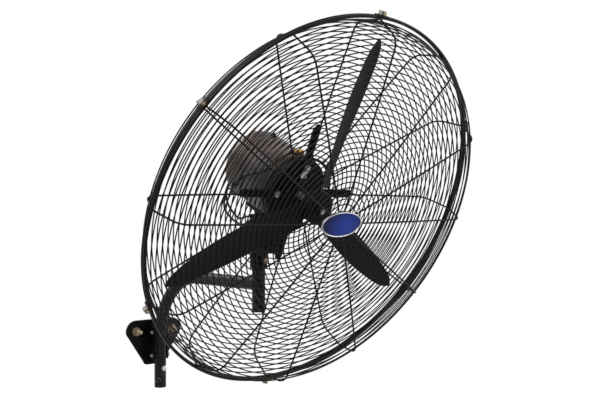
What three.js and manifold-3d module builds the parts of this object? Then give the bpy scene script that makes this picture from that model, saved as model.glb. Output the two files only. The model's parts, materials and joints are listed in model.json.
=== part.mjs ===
// Wall mounted fan: a three-blade industrial fan on a bent tube arm.
// Millimetres, +Z up. The wall is the plane y = 0 and the fan faces -y, with the origin on the back
// face of the wall plate, midway between its two studs.
import * as THREE from 'three';
import { mergeVertices } from 'three/addons/utils/BufferGeometryUtils.js';
import Module from 'manifold-3d';

const wasm = await Module();
wasm.setup();
const rad = THREE.MathUtils.degToRad;

// ---------------------------------------------------------------- driving dimensions
const SEAT_GAP = 0.3; // left between two pieces that seat on each other
const RUNNING_GAP = 0.5; // between a turning piece and its bearing

// wall plate and channel bracket
const PLATE_THICKNESS = 4;
const STUD_SPACING = 109;
const PLATE_LOBE_RADIUS = 28.5;
const PLATE_DROP = 88; // stud line to the lower edge
const PLATE_FOOT_HALF_WIDTH = 32;
const PLATE_FOOT_RADIUS = 11;
const CHANNEL_THICKNESS = 3;
const CHANNEL_TOP = 12;
const CHANNEL_BOTTOM = -71;
const CHANNEL_LIP = 9; // how far the side walls reach past the leg's axis
const STUD_DIAMETER = 10;
const STUD_PROUD = 25; // stud ahead of the plate
const STUD_NUT_WIDTH = 17;
const STUD_NUT_HEIGHT = 8;
const WASHER_DIAMETER = 22;
const WASHER_THICKNESS = 2;
const CLAMP_BOLT_HEIGHTS = { upper: -2, lower: -61 };
const M8 = { shank: 8, across: 13, head: 5.5, nut: 6.5 };
const M10 = { shank: 10, across: 17, head: 6.5, nut: 8 };

// tubes
const TUBE_DIAMETER = 30;
const TUBE_WALL = 2.5;
const LEG_STANDOFF = 33; // leg axis ahead of the wall
const LEG_BOTTOM = -144;
const ARM_HEIGHT = 147.5; // axis of the level reach
const ARM_BEND_RADIUS = 165;
const POST_STANDOFF = 436; // post axis ahead of the wall
const POST_BOTTOM = 84;
const RETAINING_SCREW_HEIGHT = -94;

// tilt fork
const TILT_HEIGHT = 275.3; // tilt bolt axis above the stud line
const TILT_ANGLE = rad(25.3); // fan axis below level, as it hangs
const TILT_TRAVEL = rad(35.3); // upward tilt from there
const FORK_GAP_HALF = 19.2; // inner faces of the two cheeks
const FORK_THICKNESS = 4;
const FORK_BASE_THICKNESS = 3;
const FORK_BASE_DEPTH = 54; // top of the base below the tilt bolt
const FORK_REAR = 20; // base behind the post axis
const FORK_FRONT = 46; // base ahead of the post axis
const FORK_EAR_RADIUS = 17;
const COLLAR_DIAMETER = 40;
const COLLAR_LENGTH = 35;
const LOCK_RADIUS = 56; // tilt bolt to lock bolt
const LOCK_ANGLE = rad(38); // lock bolt below level, ahead of the tilt bolt
const LOCK_MARGIN = 11; // metal round the ends of the lock slot

// neck; heights are along the swivel axis from the tilt bolt
const NECK_HALF_WIDTH = FORK_GAP_HALF - RUNNING_GAP;
const NECK_KNUCKLE_RADIUS = 16;
const NECK_LOCK_BOSS_RADIUS = 12;
const NECK_WEB_HALF = 7;
const SOCKET_RADIUS = 18.4;
const SOCKET_TOP = 35.7;
const SOCKET_BORE_END = 13;
const LINK_ARM_THICKNESS = 4;
const LINK_PIN_OFFSET = 25.4; // link pin beside the swivel axis
const LINK_PIN_DIAMETER = 6;
const LINK_PIN_HEAD = { diameter: 10, height: 2.6 };
const LEAD_ENTRY = { reach: 7, depth: 10, spread: 7, below: 9 }; // boss where the leads enter

// motor head; the fan axis is local y, with y = 0 in the rim's plane and +y to the rear
const SWIVEL_BACK = 166.2; // swivel axis behind the rim's plane
const AXIS_RISE = 128; // fan axis above the tilt bolt
const DRUM_RADIUS = 80;
const DRUM_FRONT = 98;
const DRUM_SHOULDER = 234; // where the rear edge starts to round off
const DRUM_REAR = 257;
const DRUM_REAR_FACE_RADIUS = 62;
const BELL_FACE_RADIUS = 74;
const BELL_RADIUS = 78;
const BELL_EDGE = 4; // rounding of the bell's front edge
const BEARING_BOSS_RADIUS = 20;
const BEARING_BOSS_HEIGHT = 6;
const SHAFT_DIAMETER = 15;
const SHAFT_SEAT_DEPTH = 22; // shaft inside the drum
const FOOT_HALF_WIDTH = 30;
const FOOT_HALF_LENGTH = 30;
const FOOT_DEPTH = 84; // underside of the foot below the fan axis
const SPINDLE_DIAMETER = 16;
const SPINDLE_SHOULDER_DIAMETER = 22;
const GEARBOX_HALF_WIDTH = 26;
const GEARBOX_DEPTH = 26; // behind the drum
const GEARBOX_TOP = 45;
const GEARBOX_BOTTOM = -78;
const GEARBOX_CORNER = 9;
const KNOB_STEM_DIAMETER = 7;
const KNOB_STEM_INSIDE = 16;
const KNOB_STEM_SHOWING = 9;
const KNOB_DIAMETER = 17;
const KNOB_HEIGHT = 13;
const LIFTING_SCREW_BACK = 205;
const LIFTING_SCREW_HEIGHT = 9;

// oscillating drive
const CRANK_BACK = 100; // crank axis behind the swivel axis
const CRANK_THROW = 16;
const CRANK_REST = rad(0.8); // crank pin from +x, as the head points straight ahead
const CRANK_DISC_RADIUS = 22;
const CRANK_DISC_THICKNESS = 5;
const CRANK_SHAFT_DIAMETER = 10;
const CRANK_SHAFT_INSIDE = 18;
const CRANK_PIN_DIAMETER = 6;
const CRANK_EYE_SLACK = 2.6; // room round the crank pin
const LINK_LENGTH = 100.8;
const LINK_REST = rad(96.57); // link direction from +x
const LINK_THICKNESS = 3;
const LINK_WIDTH = 9;
const LINK_EYE_WALL = 3;

// guard stays
const STAY_WIDTH = 18;
const STAY_THICKNESS = 3;
const STAY_FLANGE = 4; // depth of the turned-back edges
const STAY_FLANGE_THICKNESS = 2;
const STAY_INNER = 23;
const STAY_OUTER = 162;
const STAY_BOLT_CIRCLE = 62;

// rotor
const RIM_RADIUS = 422; // middle of the guard's hoops, which clears the blades' tips
const TIP_CLEARANCE = 44; // hoops outside the blades' tips
const ROTOR_RADIUS = RIM_RADIUS - TIP_CLEARANCE;
const BLADE_COUNT = 3;
const BLADE_PHASE = rad(-5.3); // first blade from the top, as it stands
const BLADE_ROOT_RADIUS = 44;
const BLADE_THICKNESS = 2;
const BLADE_CAMBER = 0.05; // of the chord
const BLADE_SWEEP = 11; // forward lean of the tip
const HUB_RADIUS = 36;
const HUB_FRONT = -2;
const HUB_PLATE = 26; // thickness of the wide part of the hub
const HUB_NECK_RADIUS = 19;
const HUB_REAR = 40;
const HUB_ARM_REACH = 104;
const HUB_ARM_WIDTH = 26;
const HUB_ARM_THICKNESS = 4;
const HUB_NUT_HEIGHT = 9;
const HUB_NUT_ACROSS = 24;
const HUB_WASHER = { diameter: 32, thickness: 2 };

// guard
const HOOP_THICKNESS = 5.4;
const HOOP_SIDES = 36;
const SHOULDER_INSET = 25.5; // shoulder inside the hoops
const SHOULDER_RADIUS = RIM_RADIUS - SHOULDER_INSET;
const SHOULDER_DEPTH = 62;
const SHOULDER_ROUNDING = 24;
const FRONT_DEPTH = 71; // middle of the front grille ahead of the rim
const REAR_DEPTH = 73.4; // middle of the rear grille behind the rim
const SPOKE_COUNT = 12;
const SPOKE_WIDTH = 4;
const SPOKE_THICKNESS = 4;
const WELD_BITE = 0.5; // how deep a welded spoke stands into its ring or hoop
const RING_WIDTH = 3.4;
const RING_HEIGHT = 3;
const RING_PITCH = 30;
const SIDE_RING_COUNT = 2;
const FRONT_DISC_RADIUS = 30;
const FRONT_DISC_THICKNESS = 3;
const REAR_RING_RADIUS = 84;
const REAR_RING_WIDTH = 6;
const REAR_RING_THICKNESS = 3.6;
const CLIP_ANGLES = [90, 30, -30, -90, -150, 150];
const CLIP_LENGTH = 27;
const CLIP_THICKNESS = 1.8;
const CLIP_GRIP = 4.6; // how far the clip reaches down beside the hoops
const CLIP_LUG = { length: 10, height: 8, bore: 4.5 };

// badge
const BADGE_HALF_WIDTH = 56;
const BADGE_HALF_HEIGHT = 29;
const BADGE_RIM_WIDTH = 3;
const BADGE_RIM_HEIGHT = 4;
const BADGE_PLATE_THICKNESS = 2.6;

// motor leads
const LEAD_DIAMETER = 5;
const GLAND_LENGTH = 28;
const GLAND_DIAMETER = 12;
const GLAND_BACK = 104;
const GLAND_OFFSET = -8;
const GLAND_SEAT_LENGTH = 0.55; // of the gland's length
const GLAND_SEAT_SHIFT = 0.15; // of the gland's length, towards its closed end
const LEAD_CLIP_ANGLE = rad(207);
const LEAD_LIFT = 0.5; // the lead's stiffness holds it off the drum
const LEAD_CLIP_BACK = 203;
const LEAD_CLIP_WALL = 2.5;
const LEAD_CLIP_ROOM = 3; // wider than the lead
const LEAD_CLIP_HALF_LENGTH = 5;

// ---------------------------------------------------------------- finishes
const finish = (colour, roughness, metalness) =>
  new THREE.MeshStandardMaterial({ color: colour, roughness, metalness });
const BLACK_PAINT = finish(0x1b1a1a, 0.4, 0.2);
const BROWN_BLACK = finish(0x2c2725, 0.45, 0.2);
const MOTOR_GREY = finish(0x4a4644, 0.4, 0.3);
const BLADE_BLACK = finish(0x26242a, 0.5, 0.2);
const ZINC = finish(0xb9b6ae, 0.35, 0.9);
const BRASS = finish(0xb08d3c, 0.3, 0.9);
const BRIGHT_STEEL = finish(0x9a9a9c, 0.3, 0.9);
const RUBBER = finish(0x161616, 0.7, 0);
const BADGE_BLUE = finish(0x123c8c, 0.35, 0);

// ---------------------------------------------------------------- solids and joins
/** A closed geometry as a solid that can be joined and cut. */
function solid(geometry) {
  const bare = geometry.clone();
  bare.deleteAttribute('normal');
  bare.deleteAttribute('uv');
  const merged = mergeVertices(bare, 1e-4);
  return new wasm.Manifold(new wasm.Mesh({
    numProp: 3,
    vertProperties: new Float32Array(merged.attributes.position.array),
    triVerts: new Uint32Array(merged.index.array),
  }));
}

/** The surface of a joined solid. */
function geometryOf(body) {
  const mesh = body.getMesh();
  const geometry = new THREE.BufferGeometry();
  geometry.setAttribute('position', new THREE.BufferAttribute(new Float32Array(mesh.vertProperties), 3));
  geometry.setIndex(new THREE.BufferAttribute(new Uint32Array(mesh.triVerts), 1));
  return geometry;
}

/** Joins the first list of geometries and cuts the second list out of the whole. */
function carve(added, removed = []) {
  let body = solid(added[0]);
  for (const geometry of added.slice(1)) body = body.add(solid(geometry));
  for (const geometry of removed) body = body.subtract(solid(geometry));
  return geometryOf(body);
}

// ---------------------------------------------------------------- outlines
const outline = (points) => new THREE.Shape(points.map(([x, y]) => new THREE.Vector2(x, y)));

/** Points of an arc, angles in radians. */
function arc(cx, cy, radius, from, to, steps) {
  const points = [];
  for (let i = 0; i <= steps; i += 1) {
    const turn = from + ((to - from) * i) / steps;
    points.push([cx + radius * Math.cos(turn), cy + radius * Math.sin(turn)]);
  }
  return points;
}

/** The tight belt round a set of circles [x, y, radius]. */
function wrap(circles, sides = 10) {
  const points = circles.flatMap(([x, y, radius]) => arc(x, y, radius, 0, 2 * Math.PI, sides).slice(1));
  points.sort((a, b) => a[0] - b[0] || a[1] - b[1]);
  const turnOf = (a, b, c) => (b[0] - a[0]) * (c[1] - a[1]) - (b[1] - a[1]) * (c[0] - a[0]);
  const half = (list) => {
    const chain = [];
    for (const point of list) {
      while (chain.length > 1 && turnOf(chain.at(-2), chain.at(-1), point) < 1e-6) chain.pop();
      chain.push(point);
    }
    return chain.slice(0, -1);
  };
  return [...half(points), ...half([...points].reverse())];
}

/** A rounded rectangle centred on the origin. */
function roundedBox(halfWidth, halfHeight, corner) {
  const x = halfWidth - corner;
  const y = halfHeight - corner;
  const quarter = Math.PI / 2;
  return [[x, y, 0], [-x, y, 1], [-x, -y, 2], [x, -y, 3]]
    .flatMap(([cx, cy, turn]) => arc(cx, cy, corner, turn * quarter, (turn + 1) * quarter, 3));
}

const holePath = (points) => new THREE.Path(points.map(([x, y]) => new THREE.Vector2(x, y)));
const roundHole = (x, y, diameter, sides = 12) =>
  holePath(arc(x, y, diameter / 2, 0, 2 * Math.PI, sides).slice(1));

// ---------------------------------------------------------------- basic bodies
/** An outline in x and y raised along z. */
const slab = (points, from, to) =>
  new THREE.ExtrudeGeometry(outline(points), { depth: to - from, bevelEnabled: false })
    .translate(0, 0, from);
/** An outline in y and z raised along x. */
const slabX = (points, from, to) => slab(points, from, to).rotateX(Math.PI / 2).rotateZ(Math.PI / 2);
/** An outline in x and z raised along y. */
const slabY = (points, from, to) => slab(points.map(([x, z]) => [x, -z]), from, to).rotateX(-Math.PI / 2);

/** A solid of revolution about y from [radius, y] points that run up the outside. */
const revolve = (profile, sides, start = 0) =>
  new THREE.LatheGeometry(profile.map(([r, y]) => new THREE.Vector2(r, y)), sides, start);

/** Round bars along each axis between two places. */
const barY = (diameter, from, to, sides = 10) =>
  revolve([[0, from], [diameter / 2, from], [diameter / 2, to], [0, to]], sides);
const barX = (diameter, from, to, sides = 10) => barY(diameter, from, to, sides).rotateZ(-Math.PI / 2);
const barZ = (diameter, from, to, sides = 10) => barY(diameter, from, to, sides).rotateX(Math.PI / 2);
const hexY = (across, from, to) => barY(across / Math.cos(Math.PI / 6), from, to, 6);
const box = (x, y, z) => new THREE.BoxGeometry(x, y, z);

/** Hex bolt along y: bearing face of the head at y = 0, head on the -y side, shank to +y. */
const bolt = (size, length) => carve([hexY(size.across, -size.head, 0), barY(size.shank, -0.5, length)]);
/** Hex nut along y with its bearing face at y = 0, lying on the -y side. */
const nut = (size) =>
  carve([hexY(size.across, -size.nut, 0)], [barY(size.shank + 2 * SEAT_GAP, -size.nut - 1, 1)]);
/** Turns a -y fastener so that its head or nut lies on the +x or -x side. */
const facingX = (geometry, side) => geometry.rotateZ((side * Math.PI) / 2);

/** A round bar along a curve. */
function cord(curve, steps, sides = 8) {
  const section = outline(arc(0, 0, LEAD_DIAMETER / 2, 0, 2 * Math.PI, sides).slice(1));
  return new THREE.ExtrudeGeometry(section, { steps, extrudePath: curve, bevelEnabled: false });
}

/** Turns geometry about y by an angle counted from +x towards +z. */
const atAngle = (geometry, angle) => geometry.rotateY(-angle);

// ---------------------------------------------------------------- assembly
const fan = new THREE.Group();
const tilting = new THREE.Group(); // origin on the tilt bolt, local z up the swivel axis
tilting.position.set(0, -POST_STANDOFF, TILT_HEIGHT);
tilting.rotation.x = TILT_ANGLE;
fan.add(tilting);
const head = new THREE.Group(); // origin at the middle of the rim
head.position.set(0, -SWIVEL_BACK, AXIS_RISE);
tilting.add(head);

/** Adds a named piece to a group. */
function piece(group, name, geometry, material) {
  const mesh = new THREE.Mesh(geometry, material);
  mesh.name = name;
  group.add(mesh);
}

// ---------------------------------------------------------------- wall plate, studs, channel
/** Rounded triangle: two lobes round the studs and a narrow rounded foot. */
function wallPlatePoints() {
  const lobe = STUD_SPACING / 2;
  const footX = PLATE_FOOT_HALF_WIDTH - PLATE_FOOT_RADIUS;
  const footZ = -PLATE_DROP + PLATE_FOOT_RADIUS;
  const reach = Math.hypot(lobe - footX, -footZ);
  const edge = Math.atan2(-footZ, lobe - footX)
    + Math.asin((PLATE_LOBE_RADIUS - PLATE_FOOT_RADIUS) / reach);
  const flank = edge - Math.PI / 2; // direction square to the sloping edge
  return [
    ...arc(lobe, 0, PLATE_LOBE_RADIUS, flank, Math.PI / 2, 9),
    ...arc(-lobe, 0, PLATE_LOBE_RADIUS, Math.PI / 2, Math.PI - flank, 9),
    ...arc(-footX, footZ, PLATE_FOOT_RADIUS, Math.PI - flank, 1.5 * Math.PI, 4),
    ...arc(footX, footZ, PLATE_FOOT_RADIUS, -Math.PI / 2, flank, 4),
  ];
}

const STUDS = { left: -STUD_SPACING / 2, right: STUD_SPACING / 2 };
const studHoles = Object.values(STUDS).map((x) =>
  barY(STUD_DIAMETER + 2 * RUNNING_GAP, -PLATE_THICKNESS - 1, 1).translate(x, 0, 0));
piece(fan, 'wall_plate', carve([slabY(wallPlatePoints(), -PLATE_THICKNESS, 0)], studHoles), BLACK_PAINT);

for (const [name, x] of Object.entries(STUDS)) {
  const seat = -(PLATE_THICKNESS + SEAT_GAP);
  piece(fan, `anchor_stud_${name}`,
    barY(STUD_DIAMETER, -(PLATE_THICKNESS + STUD_PROUD), 0).translate(x, 0, 0), ZINC);
  piece(fan, `anchor_nut_${name}`, carve(
    [
      barY(WASHER_DIAMETER, seat - WASHER_THICKNESS, seat, 16),
      hexY(STUD_NUT_WIDTH, seat - WASHER_THICKNESS - STUD_NUT_HEIGHT, seat - WASHER_THICKNESS / 2),
    ],
    [barY(STUD_DIAMETER + 2 * SEAT_GAP, -PLATE_THICKNESS - STUD_PROUD, 0)],
  ).translate(x, 0, 0), ZINC);
}

const channelInner = TUBE_DIAMETER / 2 + RUNNING_GAP;
const channelOuter = channelInner + CHANNEL_THICKNESS;
const channelBack = -(PLATE_THICKNESS + SEAT_GAP);
const channelFront = -(LEG_STANDOFF + CHANNEL_LIP);
const clampHole = (height) =>
  barX(M8.shank + 2 * SEAT_GAP, -channelOuter - 1, channelOuter + 1).translate(0, -LEG_STANDOFF, height);
const clampHoles = () => Object.values(CLAMP_BOLT_HEIGHTS).map(clampHole);
piece(fan, 'channel_bracket', carve([slab([
  [-channelOuter, channelBack], [-channelOuter, channelFront], [-channelInner, channelFront],
  [-channelInner, channelBack - CHANNEL_THICKNESS], [channelInner, channelBack - CHANNEL_THICKNESS],
  [channelInner, channelFront], [channelOuter, channelFront], [channelOuter, channelBack],
], CHANNEL_BOTTOM, CHANNEL_TOP)], clampHoles()), BLACK_PAINT);

for (const [name, height] of Object.entries(CLAMP_BOLT_HEIGHTS)) {
  const face = channelOuter + SEAT_GAP;
  const shank = 2 * face + M8.nut + 3;
  piece(fan, `clamp_bolt_${name}`,
    facingX(bolt(M8, shank), 1).translate(face, -LEG_STANDOFF, height), ZINC);
  piece(fan, `clamp_nut_${name}`,
    facingX(nut(M8), -1).translate(-face, -LEG_STANDOFF, height), ZINC);
}

// ---------------------------------------------------------------- arm and post
/** Leg, quarter bend and level reach in the plane x = 0, with a step at each end of the bend. */
class ArmAxis extends THREE.Curve {
  static BEND_STEPS = 7;
  static STEPS = ArmAxis.BEND_STEPS + 2;

  getPoint(t) {
    const step = t * ArmAxis.STEPS;
    const bendY = -(LEG_STANDOFF + ARM_BEND_RADIUS);
    const bendZ = ARM_HEIGHT - ARM_BEND_RADIUS;
    if (step < 1) return new THREE.Vector3(0, -LEG_STANDOFF, THREE.MathUtils.lerp(LEG_BOTTOM, bendZ, step));
    if (step > ArmAxis.STEPS - 1) {
      const along = step - (ArmAxis.STEPS - 1);
      return new THREE.Vector3(0, THREE.MathUtils.lerp(bendY, -POST_STANDOFF, along), ARM_HEIGHT);
    }
    const turn = ((step - 1) / ArmAxis.BEND_STEPS) * (Math.PI / 2);
    return new THREE.Vector3(0,
      bendY + ARM_BEND_RADIUS * Math.cos(turn), bendZ + ARM_BEND_RADIUS * Math.sin(turn));
  }

  getPointAt(t) {
    return this.getPoint(t);
  }

  getTangentAt(t) {
    return this.getTangent(t);
  }
}

const tubeSection = outline(arc(0, 0, TUBE_DIAMETER / 2, 0, 2 * Math.PI, 12).slice(1));
tubeSection.holes.push(roundHole(0, 0, TUBE_DIAMETER - 2 * TUBE_WALL, 8));
const armTube = new THREE.ExtrudeGeometry(tubeSection,
  { steps: ArmAxis.STEPS, extrudePath: new ArmAxis(), bevelEnabled: false });
const postNotch = barZ(TUBE_DIAMETER + 2 * SEAT_GAP, POST_BOTTOM, ARM_HEIGHT + TUBE_DIAMETER, 24)
  .translate(0, -POST_STANDOFF, 0);
const screwHole = barY(M8.shank + 2 * SEAT_GAP, -TUBE_DIAMETER / 2 - 1, 0)
  .translate(0, -LEG_STANDOFF, RETAINING_SCREW_HEIGHT);
piece(fan, 'arm_tube', carve([armTube], [postNotch, screwHole, ...clampHoles()]), BLACK_PAINT);
piece(fan, 'retaining_screw',
  bolt(M8, TUBE_WALL + 2)
    .translate(0, -(LEG_STANDOFF + TUBE_DIAMETER / 2 + SEAT_GAP), RETAINING_SCREW_HEIGHT),
  ZINC);

const forkBaseTop = TILT_HEIGHT - FORK_BASE_DEPTH;
const collarTop = forkBaseTop - FORK_BASE_THICKNESS;
const postTop = collarTop - SEAT_GAP;
piece(fan, 'post_tube',
  new THREE.ExtrudeGeometry(tubeSection, { depth: postTop - POST_BOTTOM, bevelEnabled: false })
    .translate(0, -POST_STANDOFF, POST_BOTTOM), BLACK_PAINT);

// ---------------------------------------------------------------- tilt fork
// Drawn in y and z from the tilt bolt; y runs to the rear.
const lockAt = (below) => [-LOCK_RADIUS * Math.cos(below), -LOCK_RADIUS * Math.sin(below)];
const lockLow = lockAt(LOCK_ANGLE);
const lockHigh = lockAt(LOCK_ANGLE - TILT_TRAVEL);
const baseEdge = FORK_BASE_THICKNESS / 2;
const cheekPoints = wrap([
  [0, 0, FORK_EAR_RADIUS], [...lockLow, LOCK_MARGIN], [...lockHigh, LOCK_MARGIN],
  [FORK_REAR - baseEdge, -FORK_BASE_DEPTH - baseEdge, baseEdge],
  [-FORK_FRONT + baseEdge, -FORK_BASE_DEPTH - baseEdge, baseEdge],
]);
const forkOuter = FORK_GAP_HALF + FORK_THICKNESS;
const slotHalf = M8.shank / 2 + RUNNING_GAP;
const slotFrom = Math.PI + LOCK_ANGLE - TILT_TRAVEL;
const slotTo = Math.PI + LOCK_ANGLE;
const slotPoints = [
  ...arc(0, 0, LOCK_RADIUS + slotHalf, slotFrom, slotTo, 7),
  ...arc(...lockLow, slotHalf, slotTo, slotTo + Math.PI, 5).slice(1, -1),
  ...arc(0, 0, LOCK_RADIUS - slotHalf, slotTo, slotFrom, 7),
  ...arc(...lockHigh, slotHalf, slotFrom + Math.PI, slotFrom + 2 * Math.PI, 5).slice(1, -1),
];
const collarScrewHeight = -(FORK_BASE_DEPTH + FORK_BASE_THICKNESS + COLLAR_LENGTH / 2);
piece(fan, 'tilt_fork', carve(
  [
    slabX(cheekPoints, FORK_GAP_HALF, forkOuter),
    slabX(cheekPoints, -forkOuter, -FORK_GAP_HALF),
    box(2 * forkOuter - 1, FORK_REAR + FORK_FRONT - FORK_BASE_THICKNESS, FORK_BASE_THICKNESS)
      .translate(0, (FORK_REAR - FORK_FRONT) / 2, -FORK_BASE_DEPTH - FORK_BASE_THICKNESS / 2),
    barZ(COLLAR_DIAMETER, -FORK_BASE_DEPTH - FORK_BASE_THICKNESS - COLLAR_LENGTH, -FORK_BASE_DEPTH - 1, 16),
  ],
  [
    barZ(TUBE_DIAMETER + 2 * SEAT_GAP, -FORK_BASE_DEPTH - 2 * COLLAR_LENGTH,
      -FORK_BASE_DEPTH - FORK_BASE_THICKNESS, 16),
    barX(M10.shank + 2 * SEAT_GAP, -forkOuter - 1, forkOuter + 1),
    slabX(slotPoints, -forkOuter - 1, forkOuter + 1),
    barY(M8.shank + 2 * SEAT_GAP, -COLLAR_DIAMETER, 0).translate(0, 0, collarScrewHeight),
  ],
).translate(0, -POST_STANDOFF, TILT_HEIGHT), BLACK_PAINT);
piece(fan, 'collar_screw', bolt(M8, COLLAR_DIAMETER / 2 - TUBE_DIAMETER / 2 - SEAT_GAP)
  .translate(0, -(POST_STANDOFF + COLLAR_DIAMETER / 2 + SEAT_GAP), TILT_HEIGHT + collarScrewHeight), ZINC);

const forkFace = forkOuter + SEAT_GAP;
piece(fan, 'tilt_bolt', facingX(bolt(M10, 2 * forkFace + M10.nut + 3), -1)
  .translate(-forkFace, -POST_STANDOFF, TILT_HEIGHT), ZINC);
piece(fan, 'tilt_nut', facingX(nut(M10), 1).translate(forkFace, -POST_STANDOFF, TILT_HEIGHT), ZINC);

// ---------------------------------------------------------------- neck
// The neck's own y and z, turned back from the fork's by the hanging angle.
const lockTurn = LOCK_ANGLE - TILT_ANGLE;
const neckLock = lockAt(lockTurn);
const linkArmPoints = wrap([[0, 0, SOCKET_RADIUS - 1], [LINK_PIN_OFFSET, 0, LINK_PIN_DIAMETER / 2 + 4]]);
const entryHeight = SOCKET_TOP - LEAD_ENTRY.below;
piece(tilting, 'neck', carve(
  [
    barZ(2 * SOCKET_RADIUS, 0, SOCKET_TOP, 16),
    barX(2 * NECK_KNUCKLE_RADIUS, -NECK_HALF_WIDTH, NECK_HALF_WIDTH, 14),
    barX(2 * NECK_LOCK_BOSS_RADIUS, -NECK_HALF_WIDTH, NECK_HALF_WIDTH, 12).translate(0, ...neckLock),
    slabX(wrap([[0, 0, NECK_KNUCKLE_RADIUS - 1], [...neckLock, NECK_LOCK_BOSS_RADIUS - 1]]),
      -NECK_WEB_HALF, NECK_WEB_HALF),
    slab(linkArmPoints, SOCKET_TOP - LINK_ARM_THICKNESS, SOCKET_TOP - 0.01),
    slabX(wrap([[-LEAD_ENTRY.spread, entryHeight, LEAD_ENTRY.depth / 2],
      [LEAD_ENTRY.spread, entryHeight, LEAD_ENTRY.depth / 2]], 12),
    -(SOCKET_RADIUS + LEAD_ENTRY.reach), -SOCKET_RADIUS / 2),
  ],
  [
    barZ(SPINDLE_DIAMETER + 2 * RUNNING_GAP, SOCKET_BORE_END, SOCKET_TOP + 1, 14),
    barX(M10.shank + 2 * SEAT_GAP, -NECK_HALF_WIDTH - 1, NECK_HALF_WIDTH + 1),
    barX(M8.shank + 2 * SEAT_GAP, -NECK_HALF_WIDTH - 1, NECK_HALF_WIDTH + 1).translate(0, ...neckLock),
    barZ(LINK_PIN_DIAMETER + 2 * SEAT_GAP, 0, SOCKET_TOP + 1).translate(LINK_PIN_OFFSET, 0, 0),
  ],
), BLACK_PAINT);
piece(tilting, 'lock_bolt', facingX(bolt(M8, 2 * forkFace + M8.nut + 3), -1)
  .translate(-forkFace, ...neckLock), ZINC);
piece(tilting, 'lock_nut', facingX(nut(M8), 1).translate(forkFace, ...neckLock), ZINC);

// ---------------------------------------------------------------- oscillating drive
const discTop = -FOOT_DEPTH + 2; // below the fan axis
const discBottom = discTop - CRANK_DISC_THICKNESS;
const linkTop = discBottom - 1.5;
const linkBottom = linkTop - LINK_THICKNESS;
const linkPinTop = AXIS_RISE + linkTop + SEAT_GAP;
piece(tilting, 'link_pin', carve([
  barZ(LINK_PIN_DIAMETER, SOCKET_TOP - LINK_ARM_THICKNESS, linkPinTop + 1),
  barZ(LINK_PIN_HEAD.diameter, linkPinTop, linkPinTop + LINK_PIN_HEAD.height),
]).translate(LINK_PIN_OFFSET, 0, 0), BRIGHT_STEEL);

const linkEnd = [LINK_LENGTH * Math.cos(LINK_REST), LINK_LENGTH * Math.sin(LINK_REST)];
const eyeHole = CRANK_PIN_DIAMETER + 2 * CRANK_EYE_SLACK;
const eyeRadius = eyeHole / 2 + LINK_EYE_WALL;
const pinHole = LINK_PIN_DIAMETER + 2 * RUNNING_GAP;
piece(head, 'link_rod', carve(
  [
    slab(wrap([[0, 0, LINK_WIDTH / 2 - 0.5], [...linkEnd, LINK_WIDTH / 2 - 0.5]]), linkBottom, linkTop),
    barZ(pinHole + 2 * LINK_EYE_WALL, linkBottom, linkTop - 0.01, 12),
    barZ(2 * eyeRadius, linkBottom + 0.01, linkTop, 14).translate(...linkEnd, 0),
  ],
  [
    barZ(pinHole, linkBottom - 1, linkTop + 1),
    barZ(eyeHole, linkBottom - 1, linkTop + 1, 12).translate(...linkEnd, 0),
  ],
).translate(LINK_PIN_OFFSET, SWIVEL_BACK, 0), BRIGHT_STEEL);

const crankPin = [CRANK_THROW * Math.cos(CRANK_REST), CRANK_THROW * Math.sin(CRANK_REST)];
piece(head, 'crank', carve([
  barZ(2 * CRANK_DISC_RADIUS, discBottom, discTop, 24),
  barZ(CRANK_SHAFT_DIAMETER, discTop - 1, GEARBOX_BOTTOM + CRANK_SHAFT_INSIDE - RUNNING_GAP),
  barZ(CRANK_PIN_DIAMETER, linkBottom - 1.5, discBottom + 1).translate(...crankPin, 0),
]).translate(0, SWIVEL_BACK + CRANK_BACK, 0), BRIGHT_STEEL);

// ---------------------------------------------------------------- motor
const boreY = (from, to, diameter) => barY(diameter, from, to, 16);
const roundedRear = arc(DRUM_REAR_FACE_RADIUS, DRUM_SHOULDER, 1, 0, Math.PI / 2, 4).map(([x, y]) => [
  DRUM_REAR_FACE_RADIUS + (x - DRUM_REAR_FACE_RADIUS) * (DRUM_RADIUS - DRUM_REAR_FACE_RADIUS),
  DRUM_SHOULDER + (y - DRUM_SHOULDER) * (DRUM_REAR - DRUM_SHOULDER),
]);
piece(head, 'motor_drum', carve(
  [revolve([[0, DRUM_FRONT], [DRUM_RADIUS, DRUM_FRONT], ...roundedRear, [0, DRUM_REAR]], 24)],
  [
    boreY(DRUM_FRONT - 1, DRUM_FRONT + SHAFT_SEAT_DEPTH, SHAFT_DIAMETER + 2 * RUNNING_GAP),
    barZ(M8.shank + 2 * SEAT_GAP, DRUM_RADIUS - LIFTING_SCREW_HEIGHT, DRUM_RADIUS + 1)
      .translate(0, LIFTING_SCREW_BACK, 0),
  ],
), MOTOR_GREY);
piece(head, 'lifting_screw',
  barZ(M8.shank, DRUM_RADIUS - LIFTING_SCREW_HEIGHT + SEAT_GAP, DRUM_RADIUS + LIFTING_SCREW_HEIGHT)
    .translate(0, LIFTING_SCREW_BACK, 0), BLACK_PAINT);

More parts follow.
